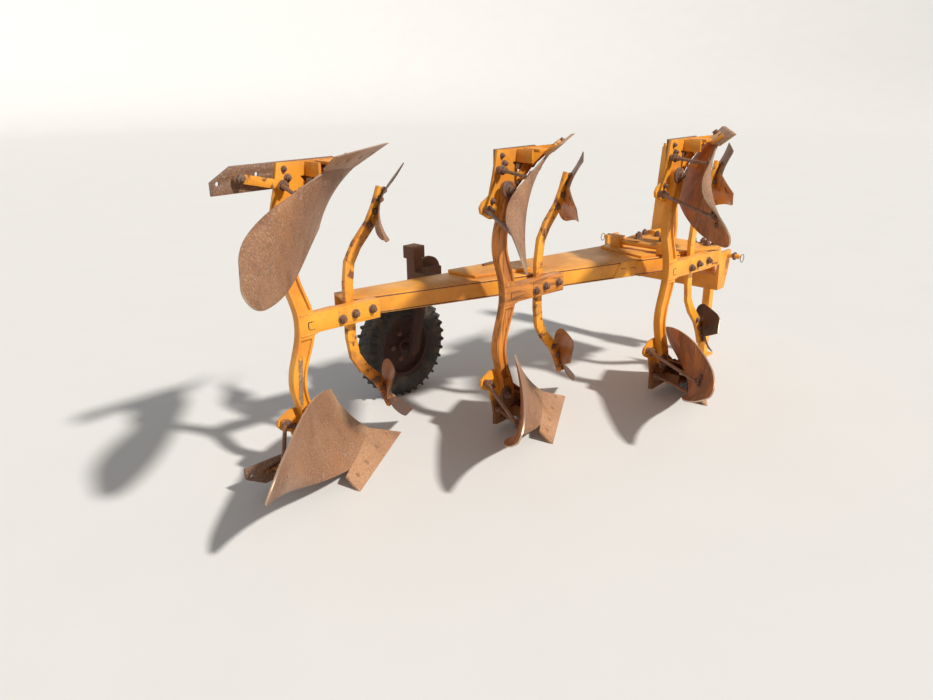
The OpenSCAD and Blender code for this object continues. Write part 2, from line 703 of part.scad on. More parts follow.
module cylinder_rod() {
    color(steel) place() along_cylinder() union() {
        translate([0, 0, -cylinder_len + 10]) cylinder(r = rod_r, h = 250);
        translate([0, eye_half, -cylinder_len]) rotate([90, 0, 0])
            cylinder(r = 28, h = 2 * eye_half);
        translate([0, 0, -cylinder_len]) rotate([90, 0, 0])
            cylinder(r = 13, h = barrel_r + 5 - seat_gap);
    }
}

module stand_leg() {
    color(yellow) place() union() {
        translate([stand_x - stand_w / 2, stand_y, 5]) cube([stand_w, stand_w, 700]);
        translate([stand_x - 60, front_y - 105, 0]) cube([120, 105, 10]);
    }
}

beam();
beam_saddle();
for (b = [0:2]) {
    at_body(b) leg();
    at_body(b) stays(b);
    at_body(b) skimmer_leg();
}
for (b = [0:2], s = [0:1]) {
    name = str("_", BODIES[b], "_", SIDES[s]);
    at_body(b, s) share();
    at_body(b, s) moldboard();
    at_body(b, s) landside(b);
    at_body(b, s) frog();
    at_body(b, s) skimmer();
}
wheel_bracket();
wheel_arm();
wheel_rim();
wheel_tyre();
carriage();
width_screw();
turnover_crank();
mast();
hitch_frame();
cylinder_barrel();
cylinder_rod();
stand_leg();
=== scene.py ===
import json
import math

import bmesh
import bpy
from bpy.props import FloatProperty, FloatVectorProperty, IntProperty, PointerProperty
from mathutils import Matrix, Vector


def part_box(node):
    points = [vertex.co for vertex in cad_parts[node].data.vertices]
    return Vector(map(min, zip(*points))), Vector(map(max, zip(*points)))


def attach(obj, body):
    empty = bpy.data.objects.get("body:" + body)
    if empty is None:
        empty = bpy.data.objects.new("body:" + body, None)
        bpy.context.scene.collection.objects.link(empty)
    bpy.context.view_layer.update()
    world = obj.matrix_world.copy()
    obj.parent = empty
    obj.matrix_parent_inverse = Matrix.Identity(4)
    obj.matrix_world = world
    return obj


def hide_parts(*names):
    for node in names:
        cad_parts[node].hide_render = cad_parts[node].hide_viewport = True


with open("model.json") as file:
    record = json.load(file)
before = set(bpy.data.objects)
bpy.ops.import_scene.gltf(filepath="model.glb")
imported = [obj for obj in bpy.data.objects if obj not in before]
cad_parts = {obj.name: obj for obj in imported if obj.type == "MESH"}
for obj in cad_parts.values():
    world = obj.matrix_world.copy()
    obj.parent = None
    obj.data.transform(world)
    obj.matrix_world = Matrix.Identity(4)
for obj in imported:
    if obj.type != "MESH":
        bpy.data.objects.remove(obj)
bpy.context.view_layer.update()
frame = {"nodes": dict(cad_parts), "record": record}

bl_info = {
    "name": "Moldboard plough",
    "version": (1, 0, 0),
    "blender": (4, 5, 0),
    "location": "View3D > Sidebar > Plough",
    "description": "Dresses the packed frame of a three-furrow reversible plough",
    "category": "Add Mesh",
}

NODES = frame["nodes"]
MM = 0.001
MERGE = 0.02 * MM
FURROW, PITCH, AXIS_H = 351, 940, 723
BODIES = ["rear", "mid", "front"]
HALVES = ["lower", "upper"]

# The plough's own frame: millimetres from the rear share's point, x to the right, y ahead, z up
leg_low, leg_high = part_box("leg_rear")
ORIGIN_X = 5 * MM - leg_low.x
ORIGIN_Y = -172 * MM - leg_high.y
BODY_OF = {node: body for body, nodes in frame["record"]["behaviour"]["bodies"].items() for node in nodes}


def row(x, y, z):
    """Millimetres in the plough's own frame to metres in the row frame."""
    return Vector((x * MM - ORIGIN_X, y * MM - ORIGIN_Y, z * MM))


def on_body(b, s, x, y, z):
    """A place on the rear lower body, taken to body b and to its lower or upper half."""
    return row(x + b * FURROW, y + b * PITCH, 2 * AXIS_H - z if s else z)


def turned(s, x, y, z):
    """A direction on the lower half, taken to the lower or upper half."""
    return Vector((x, y, -z if s else z))


# ---------------------------------------------------------------- sizes and colours


class PloughSizes(bpy.types.PropertyGroup):
    board_thickness: FloatProperty(
        name="Board thickness", description="Thickness of a moldboard",
        default=0.008, min=0.004, max=0.012, unit="LENGTH")
    skimmer_thickness: FloatProperty(
        name="Skimmer thickness", description="Thickness of a skimmer's board",
        default=0.006, min=0.003, max=0.010, unit="LENGTH")
    tyre_lug_height: FloatProperty(
        name="Tyre lug height", description="Height of the tyre's tread bars",
        default=0.006, min=0.004, max=0.02, unit="LENGTH")
    tyre_lugs: IntProperty(
        name="Tyre lugs", description="Number of tread bars on each side of the tyre",
        default=34, min=12, max=40)
    weld_radius: FloatProperty(
        name="Weld radius", description="Radius of a weld bead",
        default=0.0045, min=0.002, max=0.01, unit="LENGTH")
    edge_break: FloatProperty(
        name="Edge break", description="Width of the broken edges on forged and welded pieces",
        default=0.0025, min=0.0005, max=0.006, unit="LENGTH")
    key_power: FloatProperty(
        name="Key light", description="Strength of the soft key light",
        default=4.2, min=0.0, max=20.0)
    sky_power: FloatProperty(
        name="Sky light", description="Strength of the even light from all round",
        default=0.36, min=0.0, max=5.0)


class PloughColours(bpy.types.PropertyGroup):
    paint: FloatVectorProperty(
        name="Paint", description="Orange-yellow enamel",
        default=(0.87, 0.375, 0.032), subtype="COLOR", min=0, max=1)
    paint_shade: FloatVectorProperty(
        name="Paint, weathered", description="Enamel where the weather has darkened it",
        default=(0.62, 0.215, 0.019), subtype="COLOR", min=0, max=1)
    rust_film: FloatVectorProperty(
        name="Rust film", description="Brown film on scoured boards",
        default=(0.278, 0.140, 0.077), subtype="COLOR", min=0, max=1)
    deep_rust: FloatVectorProperty(
        name="Deep rust", description="Dark rust of bare iron",
        default=(0.125, 0.047, 0.024), subtype="COLOR", min=0, max=1)
    fresh_rust: FloatVectorProperty(
        name="Fresh rust", description="Orange rust where the paint has gone",
        default=(0.30, 0.105, 0.034), subtype="COLOR", min=0, max=1)
    bare_steel: FloatVectorProperty(
        name="Bare steel", description="Steel worn bare by the soil",
        default=(0.42, 0.38, 0.34), subtype="COLOR", min=0, max=1)
    rubber: FloatVectorProperty(
        name="Rubber", description="Tyre rubber",
        default=(0.013, 0.0125, 0.012), subtype="COLOR", min=0, max=1)
    soil: FloatVectorProperty(
        name="Soil dust", description="Dry soil dust on the upper faces",
        default=(0.50, 0.34, 0.19), subtype="COLOR", min=0, max=1)
    floor: FloatVectorProperty(
        name="Floor", description="Pale studio floor",
        default=(0.66, 0.655, 0.64), subtype="COLOR", min=0, max=1)



# ---------------------------------------------------------------- finishes


def feed(tree, socket, value):
    """Links a socket to an input, or gives it a plain value. A colour may come without its alpha."""
    if isinstance(value, bpy.types.NodeSocket):
        tree.links.new(value, socket)
    elif value is not None:
        socket.default_value = (*value, 1.0) if socket.type == "RGBA" and len(value) == 3 else value


def add(tree, kind, inputs=None, **settings):
    """A node with its settings, and its inputs by name or number."""
    node = tree.nodes.new(kind)
    for key, value in settings.items():
        setattr(node, key, value)
    for key, value in (inputs or {}).items():
        feed(tree, node.inputs[key], value)
    return node


def math_node(tree, operation, a, b=None, clamp=False):
    return add(tree, "ShaderNodeMath", {0: a, 1: b}, operation=operation, use_clamp=clamp).outputs[0]


def times(tree, a, b):
    return math_node(tree, "MULTIPLY", a, b)


def most(tree, a, b):
    return math_node(tree, "MAXIMUM", a, b)


def step_node(tree, value, low, high):
    """Zero under low, one over high, smooth between them."""
    return add(tree, "ShaderNodeMapRange", {"Value": value, "From Min": low, "From Max": high},
               interpolation_type="SMOOTHSTEP").outputs["Result"]


def mix_colour(tree, mask, a, b):
    return add(tree, "ShaderNodeMix", {0: mask, 6: a, 7: b}, data_type="RGBA").outputs[2]


def mix_value(tree, mask, a, b):
    return add(tree, "ShaderNodeMix", {0: mask, 2: a, 3: b}, data_type="FLOAT").outputs[0]


def tint(tree, colour, mask, share, other):
    """The colour, with a share of another over it where the mask is."""
    return mix_colour(tree, times(tree, mask, share), colour, other)


def noise(tree, place, scale, detail=4.0, roughness=0.55, distortion=0.0):
    return add(tree, "ShaderNodeTexNoise", {
        "Vector": place, "Scale": scale, "Detail": detail, "Roughness": roughness,
        "Distortion": distortion}).outputs["Fac"]


def stretched(tree, place, scale):
    """Coordinates for a pattern that is drawn out where its scale is small."""
    return add(tree, "ShaderNodeMapping", {"Vector": place, "Scale": scale}).outputs[0]


def xyz(tree, vector):
    return add(tree, "ShaderNodeSeparateXYZ", {0: vector}).outputs


def scaled(colour, r, g=None, b=None):
    """A colour with its channels multiplied, all by the first number or each by its own."""
    return [colour[0] * r, colour[1] * (r if g is None else g), colour[2] * (r if b is None else b)]


def new_group(name, **inputs):
    """A node group that puts out a mask. An input without a number is a vector. Gives the group, its inputs
    and the socket of the mask."""
    group = bpy.data.node_groups.new(name, "ShaderNodeTree")
    for label, value in inputs.items():
        kind = "NodeSocketVector" if value is None else "NodeSocketFloat"
        socket = group.interface.new_socket(name=label, in_out="INPUT", socket_type=kind)
        if value is not None:
            socket.default_value = value
    group.interface.new_socket(name="Mask", in_out="OUTPUT", socket_type="NodeSocketFloat")
    return group, group.nodes.new("NodeGroupInput").outputs, group.nodes.new("NodeGroupOutput").inputs[0]


def use_group(tree, name, **inputs):
    return add(tree, "ShaderNodeGroup", inputs, node_tree=bpy.data.node_groups[name]).outputs[0]


def build_edge_wear():
    """Mask of worn edges: where the rounded normal leaves the true one, broken up by noise."""
    group, given, mask = new_group("Edge wear", Place=None, Width=0.004, Amount=1.0, Breakup=40.0)
    rounded_normal = add(group, "ShaderNodeBevel", {"Radius": given["Width"]}, samples=6).outputs[0]
    true_normal = add(group, "ShaderNodeNewGeometry").outputs["Normal"]
    dot = add(group, "ShaderNodeVectorMath", {0: rounded_normal, 1: true_normal}, operation="DOT_PRODUCT")
    edge = step_node(group, math_node(group, "SUBTRACT", 1.0, dot.outputs["Value"]), 0.01, 0.16)
    chips = step_node(group, noise(group, given["Place"], given["Breakup"], 6.0, 0.7), 0.42, 0.58)
    feed(group, mask, math_node(group, "MULTIPLY", times(group, edge, chips), given["Amount"], True))


def build_blotches():
    """Mask of blotches of a chosen size and share of the surface, with ragged borders."""
    group, given, mask = new_group("Blotches", Place=None, Scale=6.0, Level=0.6, Softness=0.05)
    low = math_node(group, "SUBTRACT", given["Level"], given["Softness"])
    high = math_node(group, "ADD", given["Level"], given["Softness"])
    feed(group, mask, step_node(group, noise(group, given["Place"], given["Scale"], 8.0, 0.68, 0.4), low, high))


def build_dust():
    """Mask of dust: most on the faces that look up, broken up by noise."""
    group, given, mask = new_group("Dust", Place=None, Up=None, Amount=0.4)
    level = step_node(group, xyz(group, given["Up"])["Z"], 0.1, 0.95)
    spots = step_node(group, noise(group, given["Place"], 9.0, 6.0, 0.65), 0.35, 0.7)
    settled = math_node(group, "ADD", times(group, level, spots), times(group, spots, 0.18))
    feed(group, mask, math_node(group, "MULTIPLY", settled, given["Amount"], True))


def edge_wear(tree, place, width, breakup, amount=1.0):
    return use_group(tree, "Edge wear", Place=place, Width=width, Amount=amount, Breakup=breakup)


def blotches(tree, place, scale, level, softness):
    return use_group(tree, "Blotches", Place=place, Scale=scale, Level=level, Softness=softness)


def new_finish(name):
    """A material with a Principled shader alone. Gives its tree, the shader and the coordinates."""
    material = bpy.data.materials.new(name)
    material.use_nodes = True
    tree = material.node_tree
    return tree, tree.nodes["Principled BSDF"], add(tree, "ShaderNodeTexCoord").outputs


def feed_shader(tree, shader, colour, roughness, metallic=None, height=None, depth=0.0):
    """Feeds the shader. The depth is that of the bumps, in metres."""
    for label, value in (("Base Color", colour), ("Roughness", roughness), ("Metallic", metallic)):
        feed(tree, shader.inputs[label], value)
    if height:
        bumps = add(tree, "ShaderNodeBump", {"Height": height, "Distance": depth, "Strength": 1.0})
        feed(tree, shader.inputs["Normal"], bumps.outputs[0])


def worn_patch(tree, place, centre, size, lean):
    """Mask of one long worn patch with ragged ends and borders, at a place in metres."""
    moved = xyz(tree, add(tree, "ShaderNodeMapping", {
        "Vector": place, "Location": centre, "Rotation": (lean, 0, 0), "Scale": size},
        vector_type="TEXTURE").outputs[0])
    reach = most(tree, math_node(tree, "ABSOLUTE", moved["Y"]), math_node(tree, "ABSOLUTE", moved["Z"]))
    ragged = times(tree, noise(tree, place, 70.0, 6.0, 0.75), 1.5)
    return step_node(tree, math_node(tree, "ADD", reach, ragged), 1.66, 1.54)


def make_paint(name, c, fresh=None, weathered=None, rust=None, orange=None, wear=1.0, rust_level=0.7, stain=0.3,
               dust=0.2, patch=None, fibres=0.0, painted_shade_below=None):
    """Enamel that the weather has darkened, stained by rust, chipped at its edges and rusted in spots. It may
    have one worn patch, rust along fibres, or painted shade in rust's colours below a height."""
    fresh, weathered = fresh or c.paint, weathered or c.paint_shade
    rust, orange = rust or c.deep_rust, orange or c.fresh_rust
    tree, shader, coordinates = new_finish(name)
    place = coordinates["Object"]
    tone = step_node(tree, noise(tree, place, 2.6, 6.0, 0.6), 0.36, 0.70)
    colour = mix_colour(tree, tone, fresh, weathered)
    fine = noise(tree, place, 150.0, 3.0, 0.6)
    colour = tint(tree, colour, step_node(tree, fine, 0.50, 0.75), 0.20, weathered)
    colour = tint(tree, colour, blotches(tree, place, 11.0, 0.60, 0.09), 0.22, [0.9 * v + 0.05 for v in fresh])
    runs = noise(tree, stretched(tree, place, (26.0, 26.0, 2.4)), 1.0, 5.0, 0.65)
    film = times(tree, most(tree, step_node(tree, runs, 0.56, 0.80), blotches(tree, place, 5.5, 0.58, 0.14)), stain)
    colour = mix_colour(tree, film, colour, orange)
    if fibres:
        # Along the arm beside the beam, and up the leg elsewhere
        off_arm = math_node(tree, "ABSOLUTE", math_node(tree, "SUBTRACT", xyz(tree, place)["Z"], AXIS_H * MM))
        drawn = [noise(tree, stretched(tree, place, scale), 1.0, 5.0, 0.65)
                 for scale in ((48.0, 48.0, 2.6), (48.0, 3.2, 48.0))]
        grain = mix_value(tree, step_node(tree, off_arm, 0.052, 0.044), *drawn)
        colour = tint(tree, colour, step_node(tree, grain, 0.50, 0.62), fibres, rust)
        colour = tint(tree, colour, step_node(tree, grain, 0.45, 0.34), 0.5 * fibres, scaled(fresh, 1.25))
    rusted = most(tree, edge_wear(tree, place, 0.005, 34.0, wear), blotches(tree, place, 19.0, rust_level, 0.03))
    rust_tone = mix_colour(tree, noise(tree, place, 90.0, 5.0, 0.7), rust, orange)
    colour = mix_colour(tree, rusted, colour, rust_tone)
    halo = math_node(tree, "SUBTRACT", blotches(tree, place, 19.0, rust_level - 0.03, 0.03), rusted, True)
    colour = tint(tree, colour, halo, 0.5, orange)
    bare = rusted
    if patch:
        worn = worn_patch(tree, place, *patch)
        grey = mix_colour(tree, step_node(tree, fine, 0.38, 0.62), (0.17, 0.105, 0.060), (0.34, 0.225, 0.140))
        colour = mix_colour(tree, worn, colour, grey)
        bare = most(tree, rusted, worn)
    dusty = use_group(tree, "Dust", Place=place, Up=coordinates["Normal"], Amount=dust)
    colour = mix_colour(tree, dusty, colour, c.soil)
    # Painted shade: below the given height, with a ragged border, the enamel turns to rust's colours
    if painted_shade_below:
        level = math_node(tree, "ADD", xyz(tree, place)["Z"], times(tree, noise(tree, place, 14.0, 7.0, 0.7), 0.16))
        colour = tint(tree, colour, step_node(tree, level, painted_shade_below + 0.10, painted_shade_below + 0.05), 0.9, rust_tone)
    rough = mix_value(tree, most(tree, most(tree, bare, film), dusty), mix_value(tree, tone, 0.34, 0.52), 0.88)
    height = math_node(tree, "SUBTRACT", times(tree, noise(tree, place, 60.0, 3.0), 0.35), times(tree, bare, 0.8))
    height = math_node(tree, "ADD", height, times(tree, times(tree, rusted, fine), 0.9))
    feed_shader(tree, shader, colour, rough, height=height, depth=0.0012)
    shader.inputs["Specular IOR Level"].default_value = 0.45


def make_rust_film(name, c, film, dark=None, streaks=False, polish=0.0):
    """Scoured steel: brown film with fine specks, on a board drawn out along the way the soil slides."""
    dark = dark or c.deep_rust
    tree, shader, coordinates = new_finish(name)
    place = coordinates["Object"]
    tone = step_node(tree, noise(tree, place, 3.0, 7.0, 0.62), 0.34, 0.70)
    colour = mix_colour(tree, tone, scaled(film, 1.15), scaled(film, 0.78, 0.70, 0.64))
    specks = noise(tree, place, 120.0, 3.0, 0.9)
    colour = tint(tree, colour, step_node(tree, specks, 0.49, 0.60), 0.58, dark)
    colour = tint(tree, colour, step_node(tree, noise(tree, place, 105.0, 4.0, 0.9), 0.52, 0.62), 0.62, c.soil)
    colour = tint(tree, colour, blotches(tree, place, 5.0, 0.60, 0.10), 0.35, scaled(film, 1.35, 1.05, 0.55))
    height = times(tree, specks, 0.7)
    if streaks:
        drawn = noise(tree, stretched(tree, coordinates["UV"], (2.2, 60.0, 1.0)), 3.0, 6.0, 0.7)
        colour = tint(tree, colour, step_node(tree, drawn, 0.52, 0.74), 0.55, scaled(film, 0.55))
        colour = tint(tree, colour, step_node(tree, drawn, 0.46, 0.26), 0.42, scaled(film, 1.55))
        height = math_node(tree, "ADD", height, times(tree, drawn, 0.6))
        from_shin = math_node(tree, "ADD", xyz(tree, coordinates["UV"])["X"],
                              times(tree, noise(tree, place, 22.0, 6.0, 0.75), 0.30))
        colour = tint(tree, colour, step_node(tree, from_shin, 0.30, 0.14), 0.45, c.soil)
    colour = tint(tree, colour, blotches(tree, place, 6.0, 0.62, 0.08), 0.50, dark)
    colour = tint(tree, colour, blotches(tree, place, 4.0, 0.66, 0.05), 0.30, c.soil)
    rubbed = times(tree, blotches(tree, place, 3.0, 0.56, 0.10), polish)
    shine = most(tree, edge_wear(tree, place, 0.004, 18.0), rubbed)
    colour = tint(tree, colour, shine, 0.85, c.bare_steel)
    feed_shader(tree, shader, colour, mix_value(tree, shine, mix_value(tree, tone, 0.48, 0.66), 0.36),
                mix_value(tree, shine, 0.10, 0.75), height, 0.0006)


def make_board_back(name, c, orange, dark, grey):
    """Back of a board: orange rust with dark runs and grey places where the stones have rubbed it."""
    tree, shader, coordinates = new_finish(name)
    place = coordinates["Object"]
    tone = step_node(tree, noise(tree, place, 7.0, 8.0, 0.68), 0.34, 0.66)
    colour = mix_colour(tree, tone, orange, scaled(orange, 0.42))
    fine = noise(tree, place, 150.0, 4.0, 0.8)
    colour = tint(tree, colour, step_node(tree, fine, 0.50, 0.64), 0.5, dark)
    runs = noise(tree, stretched(tree, place, (30.0, 30.0, 5.0)), 1.0, 6.0, 0.7)
    colour = tint(tree, colour, step_node(tree, runs, 0.52, 0.66), 0.6, dark)
    rubbed = blotches(tree, place, 8.0, 0.63, 0.05)
    colour = tint(tree, colour, rubbed, 0.6, grey)
    colour = tint(tree, colour, blotches(tree, place, 21.0, 0.67, 0.03), 0.30, c.soil)
    feed_shader(tree, shader, colour, mix_value(tree, rubbed, 0.72, 0.45), height=fine, depth=0.0009)


def make_worn_iron(name, bare, rust, film, bare_share, roughness=0.5):
    """Iron: ground bright in places and at its edges, with thin rust over the rest."""
    tree, shader, coordinates = new_finish(name)
    place = coordinates["Object"]
    cover = blotches(tree, place, 9.0, bare_share, 0.14)
    fine = noise(tree, place, 330.0, 4.0, 0.75)
    colour = mix_colour(tree, cover, mix_colour(tree, fine, scaled(bare, 0.75), scaled(bare, 1.15)),
                        mix_colour(tree, step_node(tree, fine, 0.4, 0.66), film, rust))
    colour = tint(tree, colour, edge_wear(tree, place, 0.005, 24.0), 0.7, [min(1.0, 1.3 * v) for v in bare])
    feed_shader(tree, shader, colour, mix_value(tree, cover, roughness - 0.12, roughness + 0.25),
                mix_value(tree, cover, 0.75, 0.1), fine, 0.0006)


def make_rubber(name, c):
    tree, shader, coordinates = new_finish(name)
    place = coordinates["Object"]
    fine = noise(tree, place, 300.0, 4.0, 0.7)
    dried = blotches(tree, place, 14.0, 0.56, 0.12)
    colour = tint(tree, mix_colour(tree, fine, c.rubber, scaled(c.rubber, 2.2)), dried, 0.16, c.soil)
    feed_shader(tree, shader, colour, mix_value(tree, dried, 0.62, 0.9), height=fine, depth=0.0008)


def make_bright_rod(name):
    tree, shader, coordinates = new_finish(name)
    fine = noise(tree, coordinates["Object"], 200.0, 4.0)
    feed_shader(tree, shader, mix_colour(tree, fine, (0.50, 0.50, 0.49), (0.72, 0.71, 0.69)),
                mix_value(tree, fine, 0.16, 0.34), 1.0, fine, 0.0001)


def make_floor(name, colour):
    tree, shader, coordinates = new_finish(name)
    place = coordinates["Object"]
    pale = mix_colour(tree, noise(tree, place, 1.5, 5.0), scaled(colour, 0.97), scaled(colour, 1.02))
    feed_shader(tree, shader, pale, mix_value(tree, noise(tree, place, 60.0, 3.0), 0.72, 0.85))


def finish_of(name):
    return bpy.data.materials[name]


# ---------------------------------------------------------------- ways of making a piece


def deselect_all():
    if bpy.context.object and bpy.context.object.mode != "OBJECT":
        bpy.ops.object.mode_set(mode="OBJECT")
    bpy.ops.object.select_all(action="DESELECT")


def only(piece):
    """Selects one piece alone and makes it the active one."""
    deselect_all()
    piece.select_set(True)
    bpy.context.view_layer.objects.active = piece


def started(name):
    """The primitive that was just added, under its own name."""
    piece = bpy.context.object
    piece.name = name
    piece.data.name = name
    return piece


def edit(piece):
    only(piece)
    bpy.ops.object.mode_set(mode="EDIT")
    bpy.ops.mesh.select_all(action="DESELECT")


def leave_edit():
    bpy.ops.object.mode_set(mode="OBJECT")


def pick(piece, test):
    """Selects the faces of the piece in edit mode that pass the test."""
    bpy.context.tool_settings.mesh_select_mode = (False, False, True)
    bpy.ops.mesh.select_all(action="DESELECT")
    mesh = bmesh.from_edit_mesh(piece.data)
    for face in mesh.faces:
        if test(face):
            face.select_set(True)
    mesh.select_flush_mode()
    bmesh.update_edit_mesh(piece.data)


def turn_faces(piece, inside=False, merge=0.0):
    """Turns the faces of a shell outwards, or inwards, after its doubles are merged."""
    edit(piece)
    bpy.ops.mesh.select_all(action="SELECT")
    if merge:
        bpy.ops.mesh.remove_doubles(threshold=merge)
        bpy.ops.mesh.select_all(action="SELECT")
    bpy.ops.mesh.normals_make_consistent(inside=inside)
    leave_edit()


def apply_modifier(piece, kind, **values):
    modifier = piece.modifiers.new(kind.title(), kind)
    for key, value in values.items():
        setattr(modifier, key, value)
    only(piece)
    bpy.ops.object.modifier_apply(modifier=modifier.name)


def break_edges(piece, width, degrees, segments=2):
    """Bevels the edges that are sharper than an angle."""
    apply_modifier(piece, "BEVEL", width=width, segments=segments, limit_method="ANGLE",
                   angle_limit=math.radians(degrees))


def settle(piece):
    """The place goes into the mesh, so that the object sits at the origin."""
    only(piece)
    bpy.ops.object.transform_apply(location=True, rotation=True, scale=True)


def smooth(piece, degrees=35):
    only(piece)
    bpy.ops.object.shade_smooth_by_angle(angle=math.radians(degrees))


def joined(name, parts):
    deselect_all()
    for part in parts:
        part.select_set(True)
    bpy.context.view_layer.objects.active = parts[0]
    if len(parts) > 1:
        bpy.ops.object.join()
    return started(name)


def done(piece, body, finish, replaced=(), degrees=35):
    """Finishes a piece: smooth faces, finish, body and the CAD nodes that it stands for."""
    smooth(piece, degrees)
    if finish:
        piece.data.materials.clear()
        piece.data.materials.append(finish_of(finish))
    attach(piece, body)
    if replaced:
        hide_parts(*replaced)
    return piece


def iron(piece, body, finish="Bolt rust"):
    """Finishes a small piece of trim that stands for no CAD node."""
    return done(piece, body, finish)


def towards(axis):
    """The turn that takes +Z to the axis."""
    return Vector(axis).to_track_quat("Z", "Y").to_matrix().to_4x4()


def twin(source, place):
    """A copy of a piece with its own mesh, moved by a matrix."""
    part = source.copy()
    part.data = source.data.copy()
    bpy.context.scene.collection.objects.link(part)
    part.data.transform(place)
    return part


def copies(source, places, name):
    """Copies of a small piece that stands on its origin along +Z, in one object. Each place is (point, axis)
    or (point, axis, size)."""
    parts = []
    for point, axis, *size in places:
        spin = Matrix.Rotation(0.7 * len(parts), 4, "Z")
        size = Matrix.Scale(size[0] if size else 1.0, 4)
        parts.append(twin(source, Matrix.Translation(point) @ towards(axis) @ spin @ size))
    return joined(name, parts)


def discard(*pieces):
    for piece in pieces:
        bpy.data.objects.remove(piece)


def disc(name, sides, radius, low, high, *insets):
    """A short prism on the z axis, its top shaped by insets of (thickness, depth)."""
    deselect_all()
    bpy.ops.mesh.primitive_cylinder_add(vertices=sides, radius=radius, depth=high - low,
                                        location=(0, 0, (low + high) / 2))
    piece = started(name)
    edit(piece)
    pick(piece, lambda f: f.normal.z > 0.9)
    for thickness, depth in insets:
        bpy.ops.mesh.inset(thickness=thickness, depth=depth)
    leave_edit()
    settle(piece)
    return piece


def hex_bolt(name, across=0.024, head=0.010, washer=0.003, thread=0.0):
    """Hexagon head with a chamfered top on a washer, standing on the origin. A thread end may stick out of it."""
    top = washer + head
    parts = [disc(name, 6, across / math.sqrt(3), washer, top, (0.10 * across, 0.14 * head)),
             disc("washer", 16, 0.78 * across, 0, washer, (0.04 * across, 0.2 * washer))]
    if thread:
        parts.append(disc("thread", 12, 0.33 * across, top, top + thread, (0.06 * across, 0.05 * across)))
    return joined(name, parts)


def flush_bolt(name, radius=0.013):
    """Flush head of a plough bolt: a low disc with a square recess's outline raised a little."""
    return disc(name, 20, radius, -0.0004, 0.0012, (0.16 * radius, 0.0006), (0.34 * radius, 0.0),
                (0.08 * radius, -0.0012))


def bead(name, points, radius, seed=0):
    """Weld bead along points in the row frame: a round section swept along them, with small ripples."""
    line = bpy.data.curves.new(name, "CURVE")
    line.dimensions = "3D"
    spline = line.splines.new("POLY")
    path = []
    for a, b in zip(points[:-1], points[1:]):
        steps = max(1, int((b - a).length / (radius * 1.6)))
        path += [a.lerp(b, i / steps) for i in range(steps)]
    path.append(points[-1])
    spline.points.add(len(path) - 1)
    for i, p in enumerate(path):
        spline.points[i].co = (*p, 1)
        spline.points[i].radius = 1.0 + 0.22 * math.sin(2.4 * i + seed) + 0.1 * math.sin(0.7 * i + 2 * seed)
    line.bevel_depth = radius
    line.bevel_resolution = 1
    line.use_fill_caps = True
    piece = bpy.data.objects.new(name, line)
    bpy.context.scene.collection.objects.link(piece)
    only(piece)
    bpy.ops.object.convert(target="MESH")
    return started(name)


def seams(name, runs, radius, body, finish):
    """Weld beads along several runs of points, as one piece."""
    return iron(joined(name, [bead(f"{name}_run", run, radius, seed) for seed, run in enumerate(runs)]), body, finish)


def dressed(node, finish, width):
    """A CAD node with broken edges in its finish, in the node's place. Its loose triangles are merged first."""
    piece = bpy.data.objects.new(f"{node}_dressed", NODES[node].data.copy())
    piece.data.name = piece.name
    bpy.context.scene.collection.objects.link(piece)
    edit(piece)
    bpy.ops.mesh.select_all(action="SELECT")
    bpy.ops.mesh.remove_doubles(threshold=MERGE)
    bpy.ops.mesh.select_all(action="SELECT")
    bpy.ops.mesh.dissolve_limited(angle_limit=math.radians(0.8))
    leave_edit()
    break_edges(piece, width, 30)
    return done(piece, BODY_OF[node], finish, [node], 34)


def block(name, low, high, bevel):
    """A plate or bar between two corners, with broken edges."""
    deselect_all()
    bpy.ops.mesh.primitive_cube_add(size=1, location=(low + high) / 2)
    piece = started(name)
    piece.scale = [abs(v) for v in high - low]
    settle(piece)
    apply_modifier(piece, "BEVEL", width=bevel, segments=2)
    return piece


def turned_bar(name, profile, place, axis, steps=32):
    """A turned piece: points (along, radius) spun about the axis, from the place given."""
    deselect_all()
    bpy.ops.mesh.primitive_plane_add(size=0.01, location=(0, 0, 0))
    piece = started(name)
    mesh = bmesh.new()
    line = [mesh.verts.new((r, 0, t)) for t, r in profile]
    for a, c in zip(line, line[1:]):
        mesh.edges.new((a, c))
    mesh.to_mesh(piece.data)
    mesh.free()
    edit(piece)
    bpy.ops.mesh.select_all(action="SELECT")
    bpy.ops.mesh.spin(steps=steps, angle=2 * math.pi, center=(0, 0, 0), axis=(0, 0, 1))
    turn_faces(piece, merge=MERGE)
    piece.data.transform(Matrix.Translation(place) @ towards(axis))
    return piece


# ---------------------------------------------------------------- nets of the curved boards

# Rows from the shin to the wing: lower, middle and upper. The lower and middle rows end higher than in the
# part's source, where the wing's tip lies up to 29 mm deeper
BOARD_NET = [
    [(19, -137, 42), (168, -378, 7), (292, -649, 88), (355, -1020, 210)],
    [(-55, -310, 157), (109, -552, 176), (337, -795, 218), (537, -1117, 251)],
    [(-56, -379, 344), (150, -652, 463), (439, -883, 499), (669, -1199, 400)]]
WING_CORNERS = [(True, False, 0.22, 0.44), (True, True, 0.16, 0.26)]
SKIM_NET = [
    [(-9, -21, 206), (49, -115, 237), (120, -189, 276), (204, -251, 326)],
    [(-37, -117, 293), (44, -134, 321), (115, -171, 347), (187, -214, 377)],
    [(-16, -71, 444), (76, -82, 410), (134, -131, 394), (183, -193, 413)]]
SKIM_EDGE = [(-8, 93, 98), (24, 47, 108), (56, 2, 120), (88, -44, 133)]
SKIM_SHARE_END, SKIM_SHARE_DEEP = 0.44, 62
# Rounded corners: right or left, top or bottom, radius along and across
SKIM_CORNERS = [(True, True, 0.35, 0.3), (False, True, 0.2, 0.2)]
SKIM_SHARE_CORNERS = [(True, False, 0.12, 0.2)]
